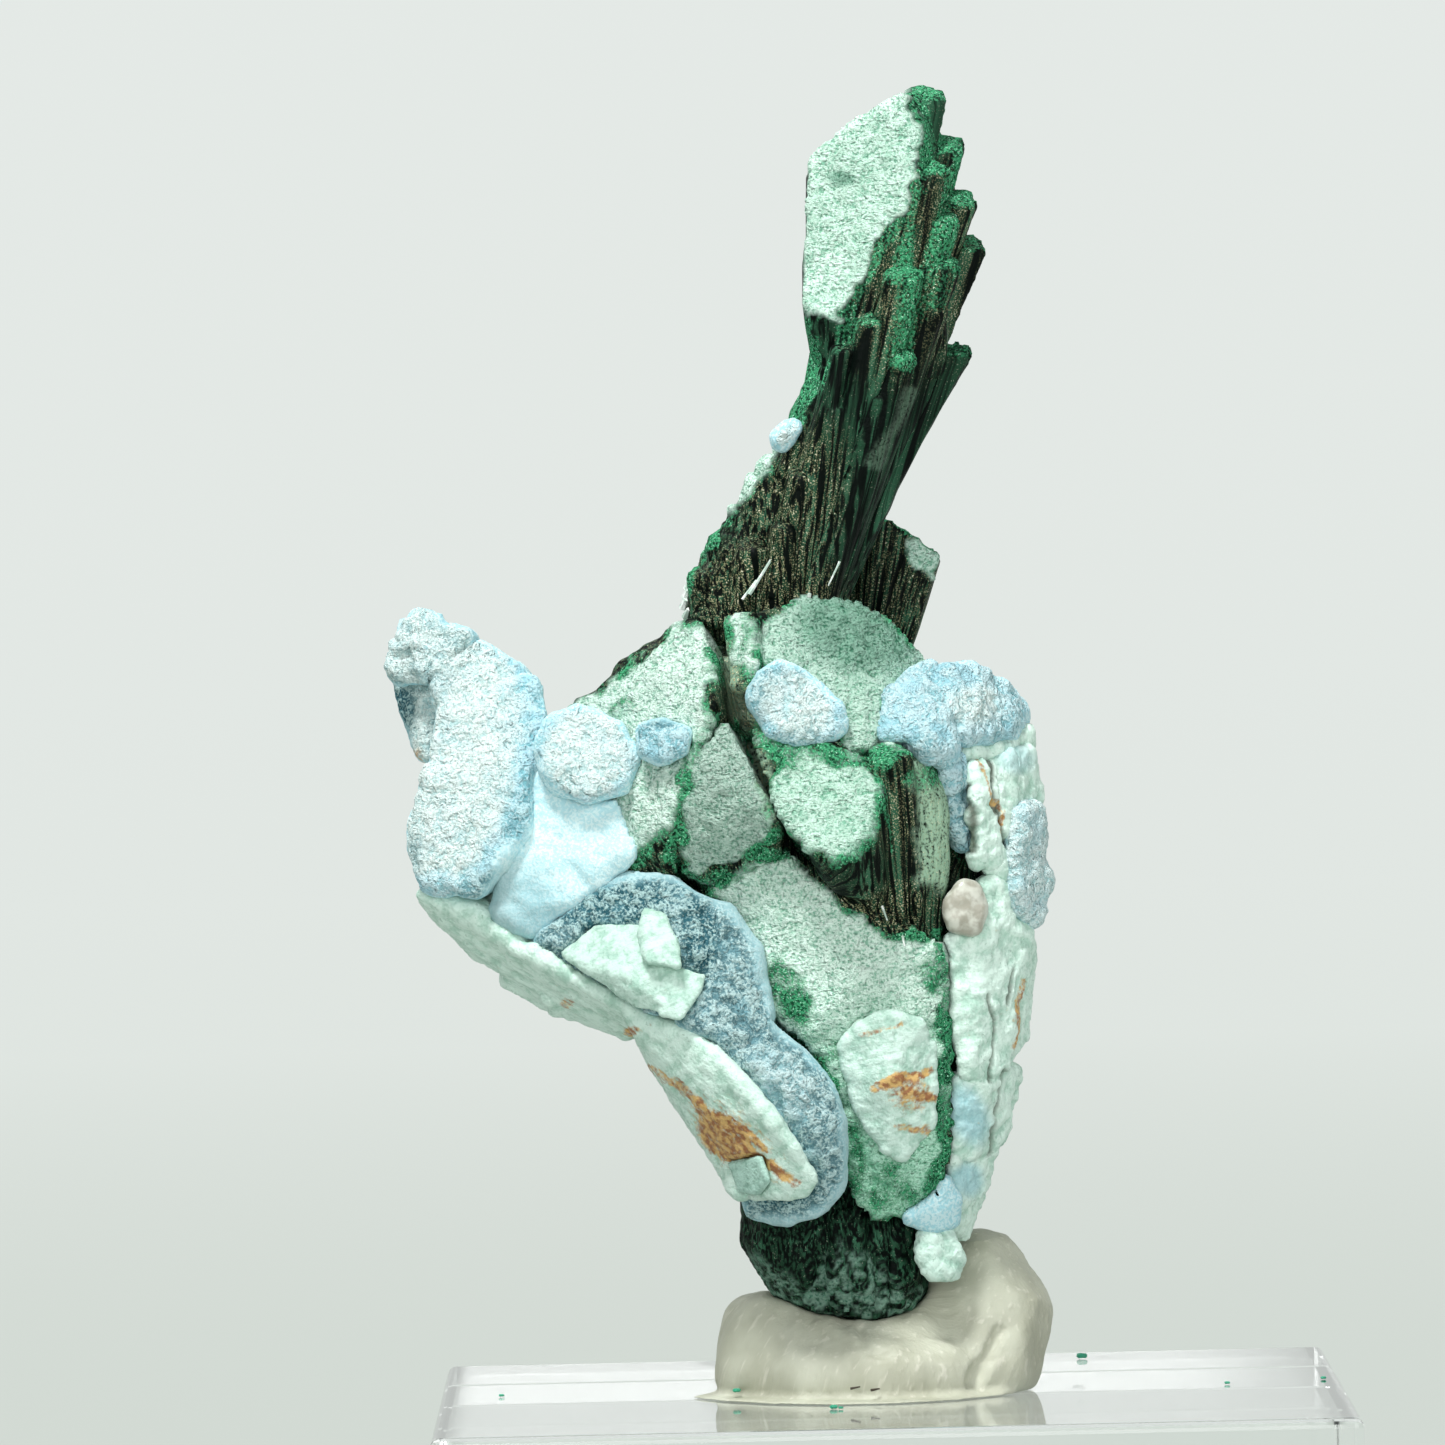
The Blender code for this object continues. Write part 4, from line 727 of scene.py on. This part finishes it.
for side in ("left", "right", "lower", "oval"):
    back = f"chrysocolla_back_{side}"
    lobe(back, f"{back}_break", facing=(-0.1, 1.0, 0.1), deep=0.1, blue=0.4)

# The pale crusts. A later, denser coating, grey-mint to white, lies in plates and chips over the lobes and
# down both flanks. Iron has stained its cracks brown and left an orange streak down the left flank.


def crust_look():
    """Pale mint plates with fine parallel scratches and rusty stains."""
    look = Look("pale crust")
    tone, stain, line = look.field("tone"), look.field("stain"), look.field("line", "Vector")
    relief = look.field("relief")
    crack, blue = look.field("crack"), look.field("blue")
    crystal = look.noise(0.13, 3.0)
    cloud = look.noise(1.3, 4.0)
    scratch = look.noise(0.18, 2.0, line, 1.0)
    pale = look.mix(tone, "a3c6b9", "d8eee3")
    dull = look.mix(tone, "7aa292", "aed2c1")
    colour = look.mix(look.ramp(cloud * 0.4 + relief * 0.25 + crystal * 0.35, 0.34, 0.58), dull, pale)
    colour = look.mix(look.ramp(scratch, 0.55, 0.66) * 0.25, colour, "86a99a")
    colour = look.mix(look.ramp(look.noise(0.22, 3.0), 0.66, 0.70) * 0.4, colour, "6a9280")
    colour = look.mix(blue, colour, look.mix(crystal, "6fa9b6", "b6dde0"))
    # Cracks are painted near black to olive, as the shade in the gaps between plates.
    colour = look.mix(crack * 0.85, colour, look.mix(crystal, "17291f", "56563f"))
    rust = look.mix(look.ramp(look.noise(0.3, 3.0), 0.4, 0.62), "91551f", "cda55f")
    veins = look.noise(0.14, 3.0) * 0.45 + look.noise(0.6, 3.0) * 0.3 + scratch * 0.4
    colour = look.mix(look.ramp(veins + stain * 0.42, 0.68, 0.98) * 0.95, colour, rust)
    normal = look.bump(scratch, 0.06, 0.6, look.bump(crystal, 0.09, 0.6))
    return look.surface(Base_Color=colour, Roughness=0.62, Normal=normal)


pale_crust = crust_look()


def crust(node, name, tone, voxel=0.11, along=(1.0, 0.0, -1.0), stain=None, crack=None, blue=None,
          bumps=0.09, waves=0.10, soften=1, grow=0.18, drawn=0.85):
    """One pale crust piece, with scratches that run the given way, and stains and cracks where asked."""
    piece = softened(regrown(node, name, voxel), soften)
    points, outward = points_of(piece)
    run = np.array(along) / np.linalg.norm(along)
    line = points - drawn * (points @ run)[:, None] * run
    crystals = sugar(points, 0.5)
    marks, cracks, patches = (
        np.clip(mark(points), 0, 1) if mark else 0 * crystals for mark in (stain, crack, blue)
    )
    height = grow + bumps * (crystals - 0.35) + waves * rough(line, 1.3, 4, 81) - 0.25 * cracks
    paint(piece, tone=tone + 0 * height, stain=marks, crack=cracks, blue=patches, line=line, relief=crystals)
    settle(piece, points + outward * height[:, None], pale_crust, node)


crust("left_crust", "pale_left_crust", 0.75, voxel=0.12, along=(12.0, -2.0, -9.0), stain=lambda p: (
    0.9 * spot(p, (-6.7, 11.0), (1.7, 1.0), -45) + 0.45 * spot(p, (-6.2, 10.7), (3.4, 1.7), -50)
    + 0.7 * stripe(p, [(-9.6, 14.0), (-8.4, 13.2), (-7.2, 11.8)], 0.3, 0.25)
    + 0.8 * stripe(p, [(-6.3, 10.8), (-5.2, 9.9), (-4.0, 8.9)], 0.3, 0.25)
    + 0.6 * stripe(p, [(-6.4, 11.7), (-5.0, 10.4)], 0.2, 0.2) + 0.8 * spot(p, (-10.4, 15.5), (0.5, 0.3))
    + 0.6 * spot(p, (-13.1, 16.8), (0.5, 0.3))))
crust("pale_chip", "pale_chips", 0.50, voxel=0.07, along=(1.0, 0.0, 0.4), bumps=0.05, waves=0.10, soften=0,
      grow=0.08)
crust("small_chip", "pale_small_chip", 0.0, voxel=0.06, along=(1.0, 0.0, 0.4), bumps=0.03, waves=0.03,
      soften=0, grow=0.08)
crust("stained_patch", "pale_stained_patch", 0.65, voxel=0.08, along=(1.0, 0.0, 0.15), waves=0.09,
      stain=lambda p: (
          0.6 * spot(p, (0.9, 12.6), (1.3, 1.3)) + 0.7 * stripe(p, [(-0.4, 12.8), (1.8, 13.5)], 0.28, 0.15)
          + 0.7 * stripe(p, [(0.7, 12.7), (1.9, 12.2)], 0.25, 0.15)
          + 0.7 * stripe(p, [(0.4, 11.3), (1.6, 11.0)], 0.3, 0.15)
          + 0.6 * stripe(p, [(-1.0, 15.0), (0.6, 15.3)], 0.2, 0.15)))
crust("cracked_crust", "pale_cracked_crust", 0.9, voxel=0.08, along=(0.0, 0.0, 1.0), bumps=0.16, grow=0.26,
      drawn=0.5,
      stain=lambda p: 0.75 * stripe(p, [(4.1, 26.2), (4.3, 25.2), (4.9, 24.2), (4.9, 23.3)], 0.14, 0.12),
      crack=lambda p: most((stripe(p, [(4.5, 26.4), (4.6, 24.6), (5.1, 22.9)], 0.12),
                            stripe(p, [(3.7, 25.4), (3.9, 22.6)], 0.16))),
      blue=lambda p: 0.5 * spot(p, (5.6, 26.4), (1.0, 0.8)))
crust("right_crust", "pale_right_crust", 0.9, along=(0.3, 0.0, 1.0), bumps=0.18, grow=0.24, drawn=0.4,
      stain=lambda p: 0.75 * stripe(p, [(5.6, 17.2), (5.3, 15.6), (5.2, 14.4)], 0.15, 0.1),
      crack=lambda p: 0.8 * most((stripe(p, [(4.2, 16.6), (4.5, 15.2), (4.2, 13.0)], 0.10),
                                  stripe(p, [(5.2, 17.6), (5.0, 16.2)], 0.10),
                                  stripe(p, [(4.8, 13.4), (4.3, 11.8), (4.2, 10.0)], 0.12))),
      blue=lambda p: 0.8 * most((spot(p, (3.3, 11.6), (1.0, 1.8), 15), spot(p, (3.2, 8.9), (0.8, 1.0)))))
crust("foot_crystal", "pale_foot_crystal", 0.7, voxel=0.07, bumps=0.16)

# The quartz grain. One rounded, glassy grain is caught in the corner of the right crust.

look = Look("quartz")
quartz = look.surface(
    Base_Color=look.mix(look.ramp(look.noise(0.6, 3.0), 0.4, 0.6), "a09e90", "c4c6ba"), Roughness=0.3,
    Normal=look.bump(look.noise(0.25, 2.0), 0.06, 0.5),
)
grain_piece = softened(regrown("quartz_grain", "quartz_grain_glassy", 0.08), 2)
points, outward = points_of(grain_piece)
height = 0.2 + 0.06 * rough(points, 0.6, 2, 3)
settle(grain_piece, points + outward * height[:, None], quartz, "quartz_grain")

# The needles and grains at the plume's root. Slender clear crystals lie in the brown fibres where the plume
# leaves the mass, and a few white grains sit at its left corner.


def loose_crystal(bm, start, end, radius, sides=5):
    """A slender crystal between two points, each given as (across, depth, height as seen)."""
    start, end = Vector(levelled(*start)), Vector(levelled(*end))
    run = end - start
    place = Matrix.Translation((start + end) / 2) @ run.to_track_quat("Z", "Y").to_matrix().to_4x4()
    bmesh.ops.create_cone(
        bm, cap_ends=True, segments=sides, radius1=radius, radius2=0.55 * radius, depth=run.length,
        matrix=place,
    )


def finished(name, bm, look):
    """The shape as a piece of the scene, with its material."""
    mesh = bpy.data.meshes.new(name)
    bm.to_mesh(mesh)
    bm.free()
    mesh.materials.append(look)
    piece = bpy.data.objects.new(name, mesh)
    bpy.context.scene.collection.objects.link(piece)
    return piece


def loose_piece(name, bm, look):
    """Puts the loose bits of one kind in the frame, in metres, as one piece."""
    bmesh.ops.scale(bm, vec=Vector((MM, MM, MM)), verts=bm.verts)
    bmesh.ops.translate(bm, vec=Vector((0, 0, block_top)), verts=bm.verts)
    piece = finished(name, bm, look)
    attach(piece, "root")


look = Look("clear crystal")
clear_crystal = look.surface(
    Base_Color=look.mix(look.ramp(look.noise(0.4, 2.0), 0.4, 0.6), "b9cfc2", "f2f8f4"), Roughness=0.12
)
bm = bmesh.new()
loose_crystal(bm, (-5.2, -3.5, 33.6), (-3.9, -3.2, 35.6), 0.08)
loose_crystal(bm, (-5.5, -3.5, 33.4), (-4.9, -3.4, 34.2), 0.06)
loose_crystal(bm, (-1.4, -3.2, 34.9), (-1.9, -3.3, 33.9), 0.05)
loose_crystal(bm, (-2.8, -4.2, 33.2), (-2.7, -4.3, 33.6), 0.14)
loose_crystal(bm, (-4.6, -6.9, 24.0), (-4.4, -7.2, 23.6), 0.07)
loose_crystal(bm, (0.0, -6.9, 20.4), (0.2, -7.2, 19.8), 0.06)
loose_crystal(bm, (0.8, -6.7, 19.2), (0.9, -6.9, 18.7), 0.07)
for up, across in ((32.7, -7.9), (33.1, -8.0), (33.5, -7.9), (33.9, -7.8), (34.2, -7.7)):
    loose_crystal(bm, (across, -1.6, up), (across + 0.15, -1.9, up + 0.35), 0.17, 6)
loose_piece("root_needles", bm, clear_crystal)

# The crumbs. Green grains and a few dark bits have dropped off the specimen onto the putty and the block.


def crumb(bm, place, size):
    """One crumb: a few small faceted grains that touch."""
    for turn in range(3):
        angle = math.tau * turn / 3
        offset = Vector((math.cos(angle), math.sin(angle), 0.0)) * 0.6 * size
        spin = Matrix.Rotation(angle + size * 50, 4, Vector((1, 1, 1)))
        grains = bmesh.ops.create_icosphere(
            bm, subdivisions=1, radius=size, matrix=Matrix.Translation(Vector(place) + offset) @ spin
        )
        centre = Matrix.Translation(-Vector(place))
        bmesh.ops.scale(bm, vec=Vector((1, 1, 0.7)), space=centre, verts=grains["verts"])


look = Look("green crumbs")
green_crumbs = look.surface(Base_Color=linear("2f9a78"), Roughness=0.5)
bm = bmesh.new()
crumb(bm, (-6.5, -3.4, 0.46), 0.13)
crumb(bm, (-2.5, -8.6, 0.10), 0.13)
crumb(bm, (-2.2, -8.8, 0.08), 0.08)
crumb(bm, (8.4, 15.0, 0.14), 0.18)
crumb(bm, (14.1, -0.5, 0.08), 0.09)
crumb(bm, (18.2, 1.0, 0.08), 0.09)
crumb(bm, (-16.4, 1.5, 0.08), 0.09)
loose_piece("green_crumbs", bm, green_crumbs)
look = Look("dark bits")
dark_bits = look.surface(Base_Color=linear("3a3126"), Roughness=0.6)
bm = bmesh.new()
loose_crystal(bm, (-1.75, -6.4, 0.14), (-1.35, -6.5, 0.22), 0.06)
loose_crystal(bm, (-0.9, -6.5, 0.06), (-0.55, -6.3, 0.12), 0.06)
loose_piece("dark_bits", bm, dark_bits)

# The mounting putty. A soft, off-white compound, rolled, pulled and pressed round the foot by hand, so it has
# stretch marks, a fold where two pulls meet and a thin film where it was pushed against the block.

look = Look("putty")
stretch = look.field("stretch", "Vector")
drawn = look.noise(0.28, 4.0, stretch, 1.0)
putty_tone = look.mix(look.ramp(look.noise(2.6, 3.0), 0.35, 0.65), "a9ab98", "bcbfad")
putty = look.surface(
    Base_Color=look.mix(look.ramp(drawn, 0.56, 0.70) * 0.35, putty_tone, "e2e1d4"),
    Roughness=0.50 + 0.20 * look.ramp(drawn, 0.4, 0.7),
    Normal=look.bump(drawn, 0.10, 0.7, look.bump(look.noise(0.25, 3.0), 0.03, 0.5)),
)
putty_piece = softened(regrown("mounting_putty", "mounting_putty_pressed", 0.16), 4)
points, outward = points_of(putty_piece)
across, up = seen(points)
hump = step(across, 1.0, 3.0)[:, None]
pull = unit((1 - hump) * (0.35, -0.2, 0.90) + hump * (0.55, -0.3, 0.80))
stretch = points - 0.9 * (points * pull).sum(axis=1, keepdims=True) * pull
height = 0.14 + 0.06 * rough(stretch, 1.0, 4, 91) + 0.10 * rough(points, 3.5, 2, 93)
near = step(-points[:, 1], 0.0, 1.0)
height -= 0.30 * near * stripe(points, [(3.3, 0.5), (3.9, 1.3), (4.5, 2.4)], 0.40, 0.1)
height -= 0.14 * near * stripe(points, [(-1.3, 2.5), (-1.0, 1.6), (-0.2, 1.4)], 0.22, 0.05)
height *= step(points[:, 2], 0.30, 0.9)
paint(putty_piece, stretch=stretch)
points = points + outward * height[:, None]
contact = points[:, 2].min() - 0.02
points[:, 2] -= contact * (1 - step(points[:, 2], 0.4, 1.4))
settle(putty_piece, points, putty, "mounting_putty")

# The clear block. A square slab of cast acrylic, sawn and polished, with its edges lightly eased.

BLOCK_EDGE = 0.4
look = Look("clear acrylic")
acrylic = look.surface(
    Base_Color=(0.97, 0.985, 0.98, 1.0), Roughness=0.04, Transmission_Weight=1.0, IOR=1.49
)
low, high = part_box("acrylic_block")
bm = bmesh.new()
bmesh.ops.create_cube(bm, size=1.0)
bmesh.ops.scale(bm, vec=high - low, verts=bm.verts)
bmesh.ops.translate(bm, vec=(low + high) / 2, verts=bm.verts)
bmesh.ops.bevel(
    bm, geom=bm.edges, offset=BLOCK_EDGE * MM, segments=4, profile=0.5, affect="EDGES", material=-1
)
block = finished("acrylic_block_polished", bm, acrylic)
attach(block, "root")
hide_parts("acrylic_block")

# The stage. A pale floor sweeps up behind the specimen, and four soft lights stand round it: the key high in
# front, a weaker one low in front, a fill at the right and one behind for the rim.

FLOOR = -0.0006
BEND = 0.4
look = Look("backdrop")
depth = look.node("ShaderNodeSeparateXYZ", {}, {0: look.place}, 1)
# The floor glows by itself, with a painted falloff from darker in front to lighter up the sweep.
glow = look.mix(look.ramp(depth, 0.05, 0.85), "c6cec7", "e4e9e6")
sweep_look = look.surface(
    Base_Color=linear("20211f"), Emission_Color=glow, Emission_Strength=0.98, Roughness=0.9
)
bm = bmesh.new()
profile = [(-1.2, FLOOR), (0.5, FLOOR)]
for angle in np.linspace(0.2, math.pi / 2, 10):
    profile.append((0.5 + BEND * math.sin(angle), BEND - BEND * math.cos(angle)))
profile += [(0.9, 1.6)]
rows = [[bm.verts.new((side, y, z)) for y, z in profile] for side in (-1.6, 1.6)]
for i in range(len(profile) - 1):
    bm.faces.new((rows[0][i], rows[1][i], rows[1][i + 1], rows[0][i + 1]))
bmesh.ops.recalc_face_normals(bm, faces=bm.faces)
backdrop = finished("backdrop", bm, sweep_look)
backdrop.data.shade_smooth()

world = bpy.data.worlds.new("studio")
world.use_nodes = True
sky = world.node_tree.nodes["Background"]
sky.inputs["Color"].default_value = (0.86, 0.92, 0.90, 1.0)
sky.inputs["Strength"].default_value = 0.14
bpy.context.scene.world = world


LIT_POINT = Vector((0, 0, 0.035))


def soft_light(name, place, size, watts):
    """A square area light that points at the middle of the specimen."""
    lamp = bpy.data.lights.new(name, "AREA")
    lamp.size = size
    lamp.energy = watts
    holder = bpy.data.objects.new(name, lamp)
    holder.location = place
    holder.rotation_euler = (LIT_POINT - Vector(place)).to_track_quat("-Z", "Y").to_euler()
    bpy.context.scene.collection.objects.link(holder)


soft_light("key", (-0.12, -0.21, 0.55), 0.12, 3.7)
soft_light("front", (-0.15, -0.62, 0.16), 0.40, 1.9)
soft_light("fill", (0.50, -0.50, 0.20), 0.50, 2.2)
soft_light("rim", (-0.25, 0.25, 0.50), 0.30, 1.2)

# The camera stands at the eye and leans slightly. The block's top is below the middle of the frame.
LEAN = math.radians(1.3)
DISTANCE = EYE_DISTANCE * MM
FRAME_WIDTH = 0.0607
OFF_CENTRE = (0.00708, -0.02809)
ELEVATION = math.atan((EYE_HEIGHT * MM + OFF_CENTRE[1]) / DISTANCE)
away = Vector((0, math.cos(ELEVATION), -math.sin(ELEVATION)))
right = Vector((1, 0, 0))
above = right.cross(away)
right, above = (
    math.cos(LEAN) * right - math.sin(LEAN) * above,
    math.sin(LEAN) * right + math.cos(LEAN) * above,
)
aim = Vector((0, 0, block_top)) - OFF_CENTRE[0] * right - OFF_CENTRE[1] * above
lens = bpy.data.cameras.new("camera")
lens.sensor_width = 36.0
lens.lens = lens.sensor_width * DISTANCE / FRAME_WIDTH
lens.clip_start = 0.01
camera = bpy.data.objects.new("camera", lens)
camera.location = aim - away * DISTANCE
camera.rotation_euler = Matrix((right, above, -away)).transposed().to_euler()
bpy.context.scene.collection.objects.link(camera)
bpy.context.scene.camera = camera
bpy.context.scene.view_settings.view_transform = "Standard"
